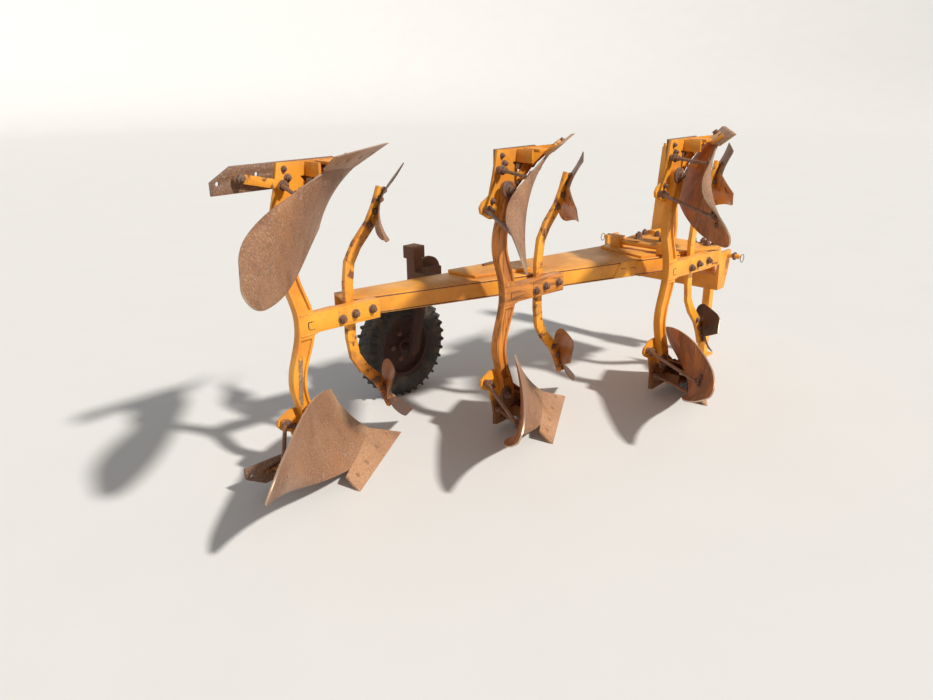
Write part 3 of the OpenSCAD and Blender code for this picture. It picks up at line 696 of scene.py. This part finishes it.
# Finishes of each skimmer board's working face, back and rim: lower ones from the rear, then upper ones
SKIM_LOOKS = [
    [("Skimmer enamel", "Skimmer enamel", "Skimmer rust")] * 2 + [("Skimmer rust", "Skimmer back", "Rim steel, painted highlight")],
    [("Skimmer rust", "Skimmer rust", "Skimmer rust")] + [("Skimmer enamel", "Skimmer enamel", "Skimmer rust")] * 2]

SHARE_W, SHARE_LEN, SHARE_SLOPE, SHARE_DEEP, SHARE_WING, SHARE_T = 313, 530, 40, 142, 92, 12
SHARE_ANGLE = math.atan2(SHARE_LEN, SHARE_W)
# From the share's flat, x along its edge, to the plough's own frame
SHARE_TURN = Matrix.Rotation(-SHARE_ANGLE, 3, "Z") @ Matrix.Rotation(math.radians(-SHARE_SLOPE), 3, "X")


def vectors(net):
    return [[Vector(p) for p in line] for line in net]


def net_point(net, u, v):
    rows = [(1 - u) ** 3 * r[0] + 3 * u * (1 - u) ** 2 * r[1] + 3 * u * u * (1 - u) * r[2] + u ** 3 * r[3]
            for r in net]
    return (1 - v) ** 2 * rows[0] + 2 * v * (1 - v) * rows[1] + v * v * rows[2]


def first_part(line, t):
    """Control points of the first part of a row's curve, up to t."""
    a, b, c, d = line
    ab, bc, cd = a.lerp(b, t), b.lerp(c, t), c.lerp(d, t)
    return [a, ab, ab.lerp(bc, t), ab.lerp(bc, t).lerp(bc.lerp(cd, t), t)]


def net_normal(net, u, v, d=0.02):
    up = net_point(net, u, min(1, v + d)) - net_point(net, u, max(0, v - d))
    along = net_point(net, min(1, u + d), v) - net_point(net, max(0, u - d), v)
    return up.cross(along).normalized()


def rounded(u, v, corners):
    """Rounds the corners of the unit square: corners is a list of (right, top, radius in u, radius in v)."""
    for right, top, ru, rv in corners:
        a = (u - (1 - ru)) / ru if right else (ru - u) / ru
        b = (v - (1 - rv)) / rv if top else (rv - v) / rv
        if a > 0 and b > 0:
            a, b = a * math.sqrt(1 - b * b / 2), b * math.sqrt(1 - a * a / 2)
            u = (1 - ru) + a * ru if right else ru - a * ru
            v = (1 - rv) + b * rv if top else rv - b * rv
    return u, v


def net_sheet(name, net, nu, nv, b, s, corners):
    """A grid laid on a net, on body b and its lower or upper half. Its faces look to the working side."""
    deselect_all()
    bpy.ops.mesh.primitive_grid_add(x_subdivisions=nu, y_subdivisions=nv, size=2, calc_uvs=True)
    sheet = started(name)
    for vertex in sheet.data.vertices:
        u, v = rounded((vertex.co.x + 1) / 2, (vertex.co.y + 1) / 2, corners)
        vertex.co = on_body(b, s, *net_point(net, u, v))
    return sheet


def make_wall(sheet, thickness, outwards, finishes, bevel=0.0015):
    """Gives a sheet its thickness behind the working face and breaks its edges. The finishes are those of the
    working face, the back and the rim."""
    turn_faces(sheet)
    middle = sheet.data.polygons[len(sheet.data.polygons) // 2]
    if middle.normal.dot(outwards) < 0:
        edit(sheet)
        bpy.ops.mesh.select_all(action="SELECT")
        bpy.ops.mesh.flip_normals()
        leave_edit()
    for finish in finishes:
        sheet.data.materials.append(finish_of(finish))
    apply_modifier(sheet, "SOLIDIFY", thickness=thickness, offset=-1.0, use_even_offset=False,
                   material_offset=1, material_offset_rim=2)
    break_edges(sheet, bevel, 50)


# ---------------------------------------------------------------- operators


# Where a stone has rubbed the rear leg: middle, half its size and lean
REAR_LEG_PATCH = (row(40, -602, 466), (0.5, 0.0125, 0.128), math.radians(-4.5))
SKIM_RUST = (0.26, 0.095, 0.032)


class PLOUGH_OT_finishes(bpy.types.Operator):
    """Makes the shared node groups and the finishes, and puts them on the CAD nodes"""
    bl_idname = "plough.finishes"
    bl_label = "Finishes"

    def execute(self, context):
        c = context.scene.plough_colours
        build_edge_wear()
        build_blotches()
        build_dust()
        make_paint("Worn enamel", c, wear=0.9, rust_level=0.71, dust=0.28)
        make_paint("Leg enamel", c, rust_level=0.68, stain=0.22, dust=0.25)
        make_paint("Rear leg enamel", c, stain=0.15, patch=REAR_LEG_PATCH)
        make_paint("Rusted enamel", c, (0.62, 0.225, 0.036), (0.33, 0.112, 0.022), (0.085, 0.034, 0.017),
                   (0.28, 0.095, 0.028), rust_level=0.68, stain=0.55, dust=0.15, fibres=0.62)
        make_paint("Skimmer leg enamel", c, orange=SKIM_RUST, rust_level=0.57, stain=0.75, dust=0.12)
        # Lower frogs: the darker rust and the rust-coloured foot up to 0.2 m are painted shade
        make_paint("Lower frog enamel, painted shade", c, rust=(0.075, 0.034, 0.019), rust_level=0.64, stain=0.4, painted_shade_below=0.20)
        make_paint("Skimmer enamel", c, (0.55, 0.20, 0.032), (0.32, 0.11, 0.024), orange=SKIM_RUST,
                   rust_level=0.60, stain=0.60)
        make_board_back("Board back", c, (0.50, 0.150, 0.020), (0.12, 0.042, 0.012), (0.34, 0.29, 0.25))
        make_board_back("Skimmer back", c, (0.13, 0.055, 0.022), (0.045, 0.026, 0.016), (0.16, 0.13, 0.11))
        film, steel = c.rust_film, c.bare_steel
        make_rust_film("Rust film", c, film, scaled(film, 0.42), streaks=True)
        make_rust_film("Share rust", c, scaled(film, 1.6, 1.75, 1.75), polish=0.15)
        make_rust_film("Landside rust", c, scaled(film, 0.62, 0.68, 0.8), polish=0.25)
        make_rust_film("Skimmer rust", c, scaled(film, 1.0, 0.8, 0.6), polish=0.1)
        make_rust_film("Rod rust", c, scaled(film, 0.75, 0.62, 0.5), polish=0.3)
        make_worn_iron("Share steel", scaled(steel, 0.26), c.deep_rust, scaled(film, 0.40), 0.45)
        # Bare steel rims of the boards, lightened to paint the highlight along their edges
        make_worn_iron("Rim steel, painted highlight", (0.60, 0.44, 0.31), c.fresh_rust, film, 0.56)
        # Nearly black iron of the gauge wheel's rim and arm: its darkness is painted shade
        make_worn_iron("Wheel iron", (0.10, 0.085, 0.08), (0.030, 0.014, 0.011), (0.075, 0.036, 0.028), 0.30, 0.6)
        make_worn_iron("Dark iron", scaled(steel, 0.35), c.deep_rust, scaled(film, 0.55), 0.30, 0.6)
        make_worn_iron("Bolt rust", scaled(steel, 0.5), c.deep_rust, scaled(film, 0.75), 0.34, 0.6)
        make_rubber("Tyre rubber", c)
        make_bright_rod("Bright rod")
        make_floor("Studio floor", c.floor)
        for name, node in NODES.items():
            for material_slot in node.material_slots:
                material_slot.material = finish_of(finish_for(name))
        return {"FINISHED"}


LOOKS = {
    "share": "Share rust", "moldboard": "Rust film", "landside": "Landside rust", "skimmer": "Skimmer rust",
    "leg_rear": "Rear leg enamel", "leg_mid": "Rusted enamel", "leg_front": "Leg enamel",
    # The lower frogs' finish holds painted shade
    "frog_rear_lower": "Lower frog enamel, painted shade", "frog_mid_lower": "Lower frog enamel, painted shade", "frog_front_lower": "Lower frog enamel, painted shade",
    "skimmer_leg": "Skimmer leg enamel", "skimmer_leg_front": "Leg enamel", "cylinder_rod": "Bright rod",
    "wheel_tyre": "Tyre rubber", "wheel_bracket": "Dark iron", "wheel_arm": "Wheel iron",
    "wheel_rim": "Wheel iron", "turnover_crank": "Rusted enamel", "stays": "Rod rust"}
# Nodes that scene.py makes anew, and nodes whose broken edges are narrower by a factor
MADE_ANEW = ("moldboard", "wheel_tyre", "skimmer_rear", "skimmer_mid", "skimmer_front")
NARROW_EDGES = {"share": 0.5, "landside": 0.5, "stays": 0.5, "cylinder": 0.5, "frog": 0.5,
                "carriage": 0.3, "mast": 0.3}
SHAFT_FROM, SHAFT_TO, SHAFT_GIVE = 0.040, 0.0455, 0.0004


def finish_for(name):
    """The finish of a CAD node, by the longest start of its name in the table."""
    best = max((k for k in LOOKS if name.startswith(k)), key=len, default=None)
    return LOOKS[best] if best else "Worn enamel"


class PLOUGH_OT_frame_pieces(bpy.types.Operator):
    """Beam, legs, frogs, landsides, shares, stays, headstock, stand and the wheel's iron, with broken edges"""
    bl_idname = "plough.frame_pieces"
    bl_label = "Frame pieces"

    def execute(self, context):
        for node in NODES:
            if node.startswith(MADE_ANEW):
                continue
            narrow = next((share for start, share in NARROW_EDGES.items() if node.startswith(start)), 1.0)
            piece = dressed(node, finish_for(node), context.scene.plough_sizes.edge_break * narrow)
            if node == "carriage":
                self.clear_shaft(piece)
            if node == "stays_rear":
                # The strap to the landside is painted, its rod is not
                piece.data.materials.append(finish_of("Skimmer leg enamel"))
                edit(piece)
                pick(piece, lambda f: f.calc_center_median().x < row(34, 0, 0).x)
                piece.active_material_index = 1
                bpy.ops.object.material_slot_assign()
                leave_edit()
        return {"FINISHED"}

    def clear_shaft(self, carriage):
        """Gives the turnover shaft the running clearance that its flat facets would take away."""
        low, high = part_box("mast")
        axis = Vector(((low.x + high.x) / 2, 0, AXIS_H * MM))
        shaft_back = row(0, 1880, 0).y
        for vertex in carriage.data.vertices:
            away = Vector((vertex.co.x, 0, vertex.co.z)) - axis
            if SHAFT_FROM < away.length < SHAFT_TO and vertex.co.y > shaft_back:
                vertex.co -= away.normalized() * SHAFT_GIVE


class PLOUGH_OT_moldboards(bpy.types.Operator):
    """Six smooth moldboards with rounded wings, trimmed along the rear edges of their shares"""
    bl_idname = "plough.moldboards"
    bl_label = "Moldboards"

    def execute(self, context):
        net = vectors(BOARD_NET)
        # The share's rear edge, in its own flat, and the play that the board keeps from it
        play = 0.3
        toe = (SHARE_DEEP * math.cos(math.radians(SHARE_SLOPE)) * math.sin(SHARE_ANGLE) - 8) / math.cos(SHARE_ANGLE)
        start = Vector((toe, -SHARE_DEEP - play, 0))
        end = Vector((0.96 * math.hypot(SHARE_LEN, SHARE_W), -SHARE_WING - play, 0))
        joint, cut = SHARE_TURN @ start, SHARE_TURN @ (end - start).cross(Vector((0, 0, 1)))
        for b, body in enumerate(BODIES):
            for s, half in enumerate(HALVES):
                board = net_sheet(f"moldboard_{body}_{half}_smooth", net, 64, 36, b, s, WING_CORNERS)
                edit(board)
                bpy.ops.mesh.select_all(action="SELECT")
                bpy.ops.mesh.bisect(plane_co=on_body(b, s, *joint), plane_no=turned(s, *cut),
                                    clear_inner=False, clear_outer=cut.y > 0, use_fill=False)
                leave_edit()
                make_wall(board, context.scene.plough_sizes.board_thickness, turned(s, *net_normal(net, 0.5, 0.5)),
                          ("Rust film", "Board back", "Rim steel, painted highlight"))
                done(board, "frame", None, [f"moldboard_{body}_{half}"], 40)
        return {"FINISHED"}


class PLOUGH_OT_skimmers(bpy.types.Operator):
    """Six skimmers: a painted board on each leg and its bare share"""
    bl_idname = "plough.skimmers"
    bl_label = "Skimmers"

    def execute(self, context):
        net = vectors(SKIM_NET)
        low, middle = [first_part(line, SKIM_SHARE_END) for line in net[:2]]
        below = [a + SKIM_SHARE_DEEP * (a - m).normalized() for a, m in zip(low, middle)]
        seat = [a + 0.8 * (a - m).normalized() for a, m in zip(low, middle)]
        share_net = [[Vector(p) for p in SKIM_EDGE], below, seat]
        thickness = context.scene.plough_sizes.skimmer_thickness
        for b, body in enumerate(BODIES):
            for s, half in enumerate(HALVES):
                board = net_sheet(f"skimmer_board_{body}_{half}", net, 24, 28, b, s, SKIM_CORNERS)
                make_wall(board, thickness, turned(s, *net_normal(net, 0.5, 0.5)), SKIM_LOOKS[s][b])
                done(board, "frame", None, [f"skimmer_{body}_{half}"], 40)
                share = net_sheet(f"skimmer_share_{body}_{half}", share_net, 24, 10, b, s, SKIM_SHARE_CORNERS)
                make_wall(share, thickness, turned(s, *net_normal(share_net, 0.5, 0.5)),
                          ("Share steel", "Rod rust", "Share steel"))
                done(share, "frame", None, [f"skimmer_{body}_{half}"], 40)
        return {"FINISHED"}


class PLOUGH_OT_tyre(bpy.types.Operator):
    """Gauge wheel's tyre: a spun carcass with slanted tread bars on both shoulders"""
    bl_idname = "plough.tyre"
    bl_label = "Tyre"

    def execute(self, context):
        sizes = context.scene.plough_sizes
        low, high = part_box("wheel_tyre")
        middle = (low + high) / 2
        outer, width = (high.z - low.z) / 2, high.x - low.x
        rim_low, rim_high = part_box("wheel_rim")
        rim = (rim_high.z - rim_low.z) / 2
        base = outer - sizes.tyre_lug_height
        half = width / 2
        profile = [(-0.044, rim + 0.0003), (-0.052, rim + 0.010), (-0.055, rim + 0.025),
                   (-half, outer - 0.060), (-half + 0.002, outer - 0.038), (-half + 0.008, base - 0.008),
                   (-half + 0.020, base), (0.0, base + 0.002)]
        profile += [(-x, r) for x, r in reversed(profile[:-1])]
        tyre = turned_bar("tyre_treaded", profile + profile[:1], middle, (1, 0, 0), 96)
        break_edges(tyre, 0.002, 35)
        deselect_all()
        bpy.ops.mesh.primitive_cube_add(size=1, location=(0, 0, 0))
        bar = started("tread_bar")
        length = half + 0.004
        for vertex in bar.data.vertices:
            x, y, z = vertex.co
            vertex.co = ((x + 0.5) * length, y * (0.012 if z > 0 else 0.018), (z + 0.5) * 0.024)
        edit(bar)
        pick(bar, lambda f: f.normal.x > 0.9)
        bpy.ops.mesh.extrude_region_move(TRANSFORM_OT_translate={"value": (0.004, 0, -0.018)})
        bpy.ops.mesh.extrude_region_move(TRANSFORM_OT_translate={"value": (-0.004, 0, -0.022)})
        leave_edit()
        apply_modifier(bar, "BEVEL", width=0.002, segments=1)
        bars = []
        for i in range(2 * sizes.tyre_lugs):
            side = 1 if i % 2 else -1
            slant = Matrix.Rotation(math.radians(24) * side, 4, "Z")
            mirror = Matrix.Scale(side, 4, (1, 0, 0))
            lift = Matrix.Translation((0, 0, outer - 0.0242))
            turn = Matrix.Rotation(math.pi * i / sizes.tyre_lugs, 4, "X")
            part = twin(bar, Matrix.Translation(middle) @ turn @ lift @ mirror @ slant)
            if side < 0:
                part.data.flip_normals()
            bars.append(part)
        discard(bar)
        piece = joined("tyre_treaded", [tyre] + bars)
        done(piece, "wheel", "Tyre rubber", ["wheel_tyre"], 32)
        return {"FINISHED"}


class PLOUGH_OT_wheel_fittings(bpy.types.Operator):
    """Nuts of the gauge wheel, on both sides of its disc"""
    bl_idname = "plough.wheel_fittings"
    bl_label = "Wheel fittings"

    def execute(self, context):
        low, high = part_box("wheel_rim")
        middle = (low + high) / 2
        nut = hex_bolt("wheel_nut", across=0.026, head=0.014, thread=0.008)
        places = []
        for side, face in ((-1, -0.008), (1, 0.004)):
            for angle in [2 * math.pi * (i + 0.5) / WHEEL_NUTS for i in range(WHEEL_NUTS)]:
                out = WHEEL_NUT_CIRCLE * Vector((0, math.cos(angle), math.sin(angle)))
                places.append((middle + out + Vector((face, 0, 0)), (side, 0, 0)))
        iron(copies(nut, places, "wheel_nuts"), "wheel")
        discard(nut)
        return {"FINISHED"}


# Faces that the bolts sit on, right of the share's point
FROG_FACE, LEG_FACE, STAY_FACE, HEEL_FACE, LANDSIDE_FACE, SKIMMER_LEG_FACE = 4.7, 55, 31, 13.3, -20.3, 21
# Bolts of one body's lower half: distance ahead of the share's point, height, and size of the nuts
FROG_NUTS = [(-373, 71, 0.62), (-574, 63, 0.62), (-560, 100, 0.8), (-470, 196, 0.62), (-640, 262, 0.7)]
LEG_NUT, HEEL_NUT = (-581, 212), (-782, 80)
STAY_NUTS = [(-600, 124), (-692, 297)]
SKIMMER_BOLTS = [(-66, 202), (-88, 240), (-122, 292), (-160, 348)]
LANDSIDE_HEADS = [(-300, 92), (-420, 60), (-540, 96)]
ARM_NUTS = [(-374, 712), (-306, 724), (-214, 728)]
SHARE_HEADS = [(110, -62), (260, -60), (410, -56), (530, -52)]
# Places on the nets, along and across
BOARD_HEADS = [(0.10, 0.30), (0.14, 0.70), (0.38, 0.22), (0.82, 0.70), (0.64, 0.15)]
BOARD_BOLTS = [(0.795, 0.66), (0.845, 0.68), (0.815, 0.78), (0.62, 0.10), (0.66, 0.20)]
SKIMMER_HEADS = [(0.3, 0.35), (0.35, 0.75)]
WHEEL_NUTS, WHEEL_NUT_CIRCLE = 5, 0.078
ARM_FACE = (Vector((49, -490, 0)), Vector((83, -172, 0)))


def arm_point(y, z):
    """A place on the outer face of a leg's arm."""
    a, b = ARM_FACE
    t = (y - a.y) / (b.y - a.y)
    return (a.x + t * (b.x - a.x), y, z)


class PLOUGH_OT_body_bolts(bpy.types.Operator):
    """Nuts and bolts of the legs, arms, frogs, stays and skimmers, and flush bolts of boards and shares"""
    bl_idname = "plough.body_bolts"
    bl_label = "Body bolts"

    def execute(self, context):
        net, skim = vectors(BOARD_NET), vectors(SKIM_NET)
        bolt = hex_bolt("body_bolt", across=0.021, head=0.010)
        nut = hex_bolt("body_nut", across=0.028, head=0.015, washer=0.0035, thread=0.009)
        flush = flush_bolt("flush_bolt")
        across = (ARM_FACE[1] - ARM_FACE[0]).normalized().cross(Vector((0, 0, 1)))
        for b, body in enumerate(BODIES):
            nuts, bolts, heads = [], [], []
            for s in (0, 1):
                nuts += [(on_body(b, s, FROG_FACE, y, z), (1, 0, 0), size) for y, z, size in FROG_NUTS]
                nuts.append((on_body(b, s, LEG_FACE, *LEG_NUT), (1, 0, 0), 1.05))
                nuts += [(on_body(b, s, STAY_FACE, y, z), (1, 0, 0), 1.05) for y, z in STAY_NUTS]
                if b == 0:
                    nuts.append((on_body(b, s, HEEL_FACE, *HEEL_NUT), (1, 0, 0), 1.1))
                heads += [(on_body(b, s, LANDSIDE_FACE, y, z), (-1, 0, 0)) for y, z in LANDSIDE_HEADS]
                heads += [(on_body(b, s, *net_point(net, u, v)), turned(s, *net_normal(net, u, v)))
                          for u, v in BOARD_HEADS]
                top = turned(s, *(SHARE_TURN @ Vector((0, 0, 1))))
                heads += [(on_body(b, s, *(SHARE_TURN @ Vector((x, y, 0)))), top) for x, y in SHARE_HEADS]
                heads += [(on_body(b, s, *net_point(skim, u, v)), turned(s, *net_normal(skim, u, v)), 0.8)
                          for u, v in SKIMMER_HEADS]
                bolts += [(on_body(b, s, SKIMMER_LEG_FACE, y, z), (1, 0, 0)) for y, z in SKIMMER_BOLTS]
                for u, v in BOARD_BOLTS:
                    n = net_normal(net, u, v)
                    bolts.append((on_body(b, s, *(net_point(net, u, v) - 8 * n)), turned(s, *-n)))
                bolts += [(on_body(b, s, *(SHARE_TURN @ Vector((x, y, -SHARE_T)))), -top, 1.2)
                          for x, y in SHARE_HEADS[:3]]
            nuts += [(on_body(b, 0, *arm_point(y, z)), across) for y, z in ARM_NUTS]
            iron(copies(nut, nuts, f"body_nuts_{body}"), "frame")
            iron(copies(bolt, bolts, f"skimmer_bolts_{body}"), "frame")
            done(copies(flush, heads, f"flush_bolts_{body}"), "frame", "Rust film")
        discard(bolt, nut, flush)
        return {"FINISHED"}


# The leg's right side, its welds over and under the arm, the arm's slot and the middle of the arm's plate
LEG_SIDE, ARM_WELD, ARM_PLATE = 45, 46, (-292, 724)
ARM_SLOT = [(-546, 732), (-546, 706), (-538, 697), (-500, 697), (-491, 706), (-491, 724), (-500, 732), (-546, 732)]


class PLOUGH_OT_body_welds(bpy.types.Operator):
    """Welds between legs and arms, the outline of each arm's slot and plate, and the eyes on the legs"""
    bl_idname = "plough.body_welds"
    bl_label = "Body welds"

    def execute(self, context):
        radius = context.scene.plough_sizes.weld_radius
        for b, body in enumerate(BODIES):
            runs = [[on_body(b, 0, LEG_SIDE + 0.2, y, AXIS_H + side * ARM_WELD) for y in (-586, -540, -500)]
                    for side in (-1, 1)]
            seams(f"leg_welds_{body}", runs, radius * 0.8, "frame", finish_for(f"leg_{body}"))
            slot = [on_body(b, 0, LEG_SIDE + 0.4, y, z) for y, z in ARM_SLOT]
            seams(f"arm_slot_{body}", [slot], 0.0028, "frame", "Wheel iron")
            for s, half in enumerate(HALVES):
                eye = turned_bar(f"leg_eye_{body}_{half}", [
                    (-0.001, 0.001), (-0.001, 0.040), (0.007, 0.040), (0.010, 0.037), (0.010, 0.023), (0.006, 0.020),
                    (0.006, 0.001)], on_body(b, s, LEG_SIDE, *LEG_NUT), (1, 0, 0))
                iron(eye, "frame")
            along = ARM_FACE[1] - ARM_FACE[0]
            lean = math.atan2(along.x, along.y)
            plate = block(f"arm_plate_{body}", Vector((-0.0004, -0.100, -0.034)), Vector((0.0022, 0.100, 0.034)),
                          0.0008)
            plate.data.transform(Matrix.Translation(on_body(b, 0, *arm_point(*ARM_PLATE)))
                                 @ Matrix.Rotation(-lean, 4, "Z"))
            done(plate, "frame", finish_for(f"leg_{body}"))
        return {"FINISHED"}


# The beam's right face beside the rear share's point, and the rear end of its side plate
BEAM_RIGHT, PLATE_Y = 88, 1120


class PLOUGH_OT_beam_fittings(bpy.types.Operator):
    """Seams of the beam, dark to paint the shadow line under its top edge, its side plate, the bar on its saddle and
    the knobs of the width screw
    """
    bl_idname = "plough.beam_fittings"
    bl_label = "Beam fittings"

    def execute(self, context):
        radius = context.scene.plough_sizes.weld_radius
        slope = FURROW / PITCH
        near = Vector((1, -slope, 0)).normalized()
        runs = []
        # Weld beads near the top and bottom edges: their dark colour is a painted shadow, the line under the top
        # plate's lip and its mirror below
        for z in (AXIS_H + 38, AXIS_H - 38):
            runs.append([row(BEAM_RIGHT + slope * y, y, z) + near * 0.0004 for y in (-290, 300, 900, 1500, 1820)])
        seams("beam_shadow_seams", runs, radius * 0.55, "frame", "Dark iron")
        plate = block("beam_side_plate", Vector((0, 0.0, 0.680)), Vector((0.0035, 0.150, 0.766)), 0.0012)
        for vertex in plate.data.vertices:
            if vertex.co.y < 0.07:
                vertex.co.y += 0.55 * (vertex.co.z - 0.680)
        plate.data.transform(Matrix.Translation(row(BEAM_RIGHT + slope * PLATE_Y, PLATE_Y, 0))
                             @ Matrix.Rotation(-math.atan(slope), 4, "Z"))
        done(plate, "frame", "Worn enamel")
        marks = []
        for y, z in ((1178, 730), (1240, 728)):
            marks.append([row(BEAM_RIGHT + 3.6 + slope * (y + d), y + d, z) for d in (-14, 14)])
        seams("plate_marks", marks, 0.0018, "frame", "Wheel iron")
        bar = block("saddle_bar", row(52, 560, 784), row(72, 660, 794), 0.003)
        iron(bar, "frame")
        knob = hex_bolt("screw_knob", across=0.034, head=0.026, washer=0.006, thread=0.012)
        places = [(row(455, 1442, 838), (0, 0.25, 1)), (row(600, 1442, 844), (0, 0, 1), 0.7)]
        iron(copies(knob, places, "screw_knobs"), "frame")
        discard(knob)
        return {"FINISHED"}


CARRIAGE_TOP = 780.2
CARRIAGE_NUTS = [(655, 1842), (700, 1800), (722, 1845), (590, 1845), (300, 1500), (260, 1845), (350, 1845)]


class PLOUGH_OT_hitch_fittings(bpy.types.Operator):
    """Nuts of the carriage, collars and spring rings of the lower pins, and the hub's cap"""
    bl_idname = "plough.hitch_fittings"
    bl_label = "Hitch fittings"

    def execute(self, context):
        nut = hex_bolt("carriage_nut", across=0.030, head=0.018, washer=0.004, thread=0.010)
        places = [(row(x, y, CARRIAGE_TOP), (0, 0, 1)) for x, y in CARRIAGE_NUTS]
        iron(copies(nut, places, "carriage_nuts"), "frame")
        discard(nut)
        for pin in frame["record"]["mounts"]:
            if pin["kind"] != "pin":
                continue
            root, axis = Vector(pin["pos_m"]), Vector(pin["axis"])
            radius = pin["dims"]["r_mm"] * MM
            collar = turned_bar(pin["name"] + "_collar", [
                (0.0, radius + 0.0003), (0.0, radius + 0.010), (0.009, radius + 0.010), (0.011, radius + 0.008),
                (0.011, radius + 0.0003), (0.0, radius + 0.0003)], root, axis)
            iron(collar, "headstock")
            deselect_all()
            bpy.ops.mesh.primitive_torus_add(major_segments=28, minor_segments=8, major_radius=0.024,
                                             minor_radius=0.0022, location=(0, 0, 0))
            ring = started(pin["name"] + "_spring_pin")
            settle(ring)
            ring.data.transform(Matrix.Translation(root + axis * 0.052 - Vector((0, 0, 0.0066)))
                                @ towards(axis))
            iron(ring, "headstock")
        low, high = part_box("wheel_rim")
        middle = (low + high) / 2
        cap = turned_bar("hub_cap", [
            (0.0, 0.030), (0.0, 0.037), (0.013, 0.036), (0.019, 0.029), (0.021, 0.001), (0.018, 0.001),
            (0.012, 0.030), (0.0, 0.030)], middle - Vector((0.034, 0, 0)), (-1, 0, 0))
        iron(cap, "wheel", "Wheel iron")
        return {"FINISHED"}


# The studio's wall leans back more than the key light falls, so that it casts no shadow on the floor
WALL_NEAR, WALL_BEND, WALL_TOP = 24.0, 14.0, (18.0, 56.8)
KEY_FROM, KEY_SPREAD = (0.711, 0.111, 0.695), 4
# The fitted camera: its place in the plough's own frame, its angles in degrees and its lens
CAMERA_PLACE = (2699, -2352, 1739)
CAMERA_LEFT, CAMERA_DOWN, CAMERA_ROLL, CAMERA_LENS = 43.5, 19.95, -0.585, 29.443


class PLOUGH_OT_stage(bpy.types.Operator):
    """Pale floor, soft light and the camera at the photograph's angle"""
    bl_idname = "plough.stage"
    bl_label = "Stage"

    def execute(self, context):
        sizes = context.scene.plough_sizes
        rise = [(0.0, 0.0005), (0.0, WALL_NEAR)] + [
            (WALL_BEND * (1 - math.cos(a)), WALL_NEAR + WALL_BEND * math.sin(a))
            for a in [math.radians(4 * i) for i in range(1, 9)]]
        floor = turned_bar("studio_floor", rise + [WALL_TOP], (0, 0, 0), (0, 0, 1), 96)
        turn_faces(floor, inside=True)
        smooth(floor, 60)
        floor.data.materials.append(finish_of("Studio floor"))
        world = bpy.data.worlds.new("Studio")
        context.scene.world = world
        world.use_nodes = True
        sky = world.node_tree.nodes["Background"]
        sky.inputs["Color"].default_value = (0.94, 0.95, 0.97, 1)
        sky.inputs["Strength"].default_value = sizes.sky_power
        key = bpy.data.lights.new("key", "SUN")
        key.energy = sizes.key_power
        key.angle = math.radians(KEY_SPREAD)
        key.color = (1.0, 0.96, 0.90)
        key_object = bpy.data.objects.new("key", key)
        key_object.rotation_euler = Vector(KEY_FROM).to_track_quat("Z", "Y").to_euler()
        context.scene.collection.objects.link(key_object)
        context.scene.view_settings.view_transform = "Standard"
        camera = bpy.data.cameras.new("camera")
        camera.sensor_width = 36
        camera.lens = CAMERA_LENS
        camera.clip_end = 200
        view = bpy.data.objects.new("camera", camera)
        view.matrix_world = (Matrix.Translation(row(*CAMERA_PLACE))
                             @ Matrix.Rotation(math.radians(CAMERA_LEFT), 4, "Z")
                             @ Matrix.Rotation(math.radians(90 - CAMERA_DOWN), 4, "X")
                             @ Matrix.Rotation(math.radians(CAMERA_ROLL), 4, "Z"))
        context.scene.collection.objects.link(view)
        context.scene.camera = view
        return {"FINISHED"}


class PLOUGH_PT_pieces(bpy.types.Panel):
    """Lists the plough's pieces"""
    bl_idname = "PLOUGH_PT_pieces"
    bl_label = "Plough"
    bl_space_type = "VIEW_3D"
    bl_region_type = "UI"
    bl_category = "Plough"

    def draw(self, context):
        for operator in PIECES:
            self.layout.operator(operator.bl_idname)
        for group in (context.scene.plough_sizes, context.scene.plough_colours):
            for name in group.bl_rna.properties.keys():
                if name not in ("rna_type", "name"):
                    self.layout.prop(group, name)


PIECES = (PLOUGH_OT_finishes, PLOUGH_OT_frame_pieces, PLOUGH_OT_moldboards, PLOUGH_OT_skimmers,
          PLOUGH_OT_tyre, PLOUGH_OT_wheel_fittings, PLOUGH_OT_body_bolts, PLOUGH_OT_body_welds,
          PLOUGH_OT_beam_fittings, PLOUGH_OT_hitch_fittings, PLOUGH_OT_stage)
CLASSES = (PloughSizes, PloughColours, *PIECES, PLOUGH_PT_pieces)


def register():
    for item in CLASSES:
        bpy.utils.register_class(item)
    bpy.types.Scene.plough_sizes = PointerProperty(type=PloughSizes)
    bpy.types.Scene.plough_colours = PointerProperty(type=PloughColours)


def unregister():
    del bpy.types.Scene.plough_colours
    del bpy.types.Scene.plough_sizes
    for item in reversed(CLASSES):
        bpy.utils.unregister_class(item)


def main():
    register()
    for operator in PIECES:
        module, name = operator.bl_idname.split(".")
        getattr(getattr(bpy.ops, module), name)()
    deselect_all()


if __name__ == "__main__":
    main()
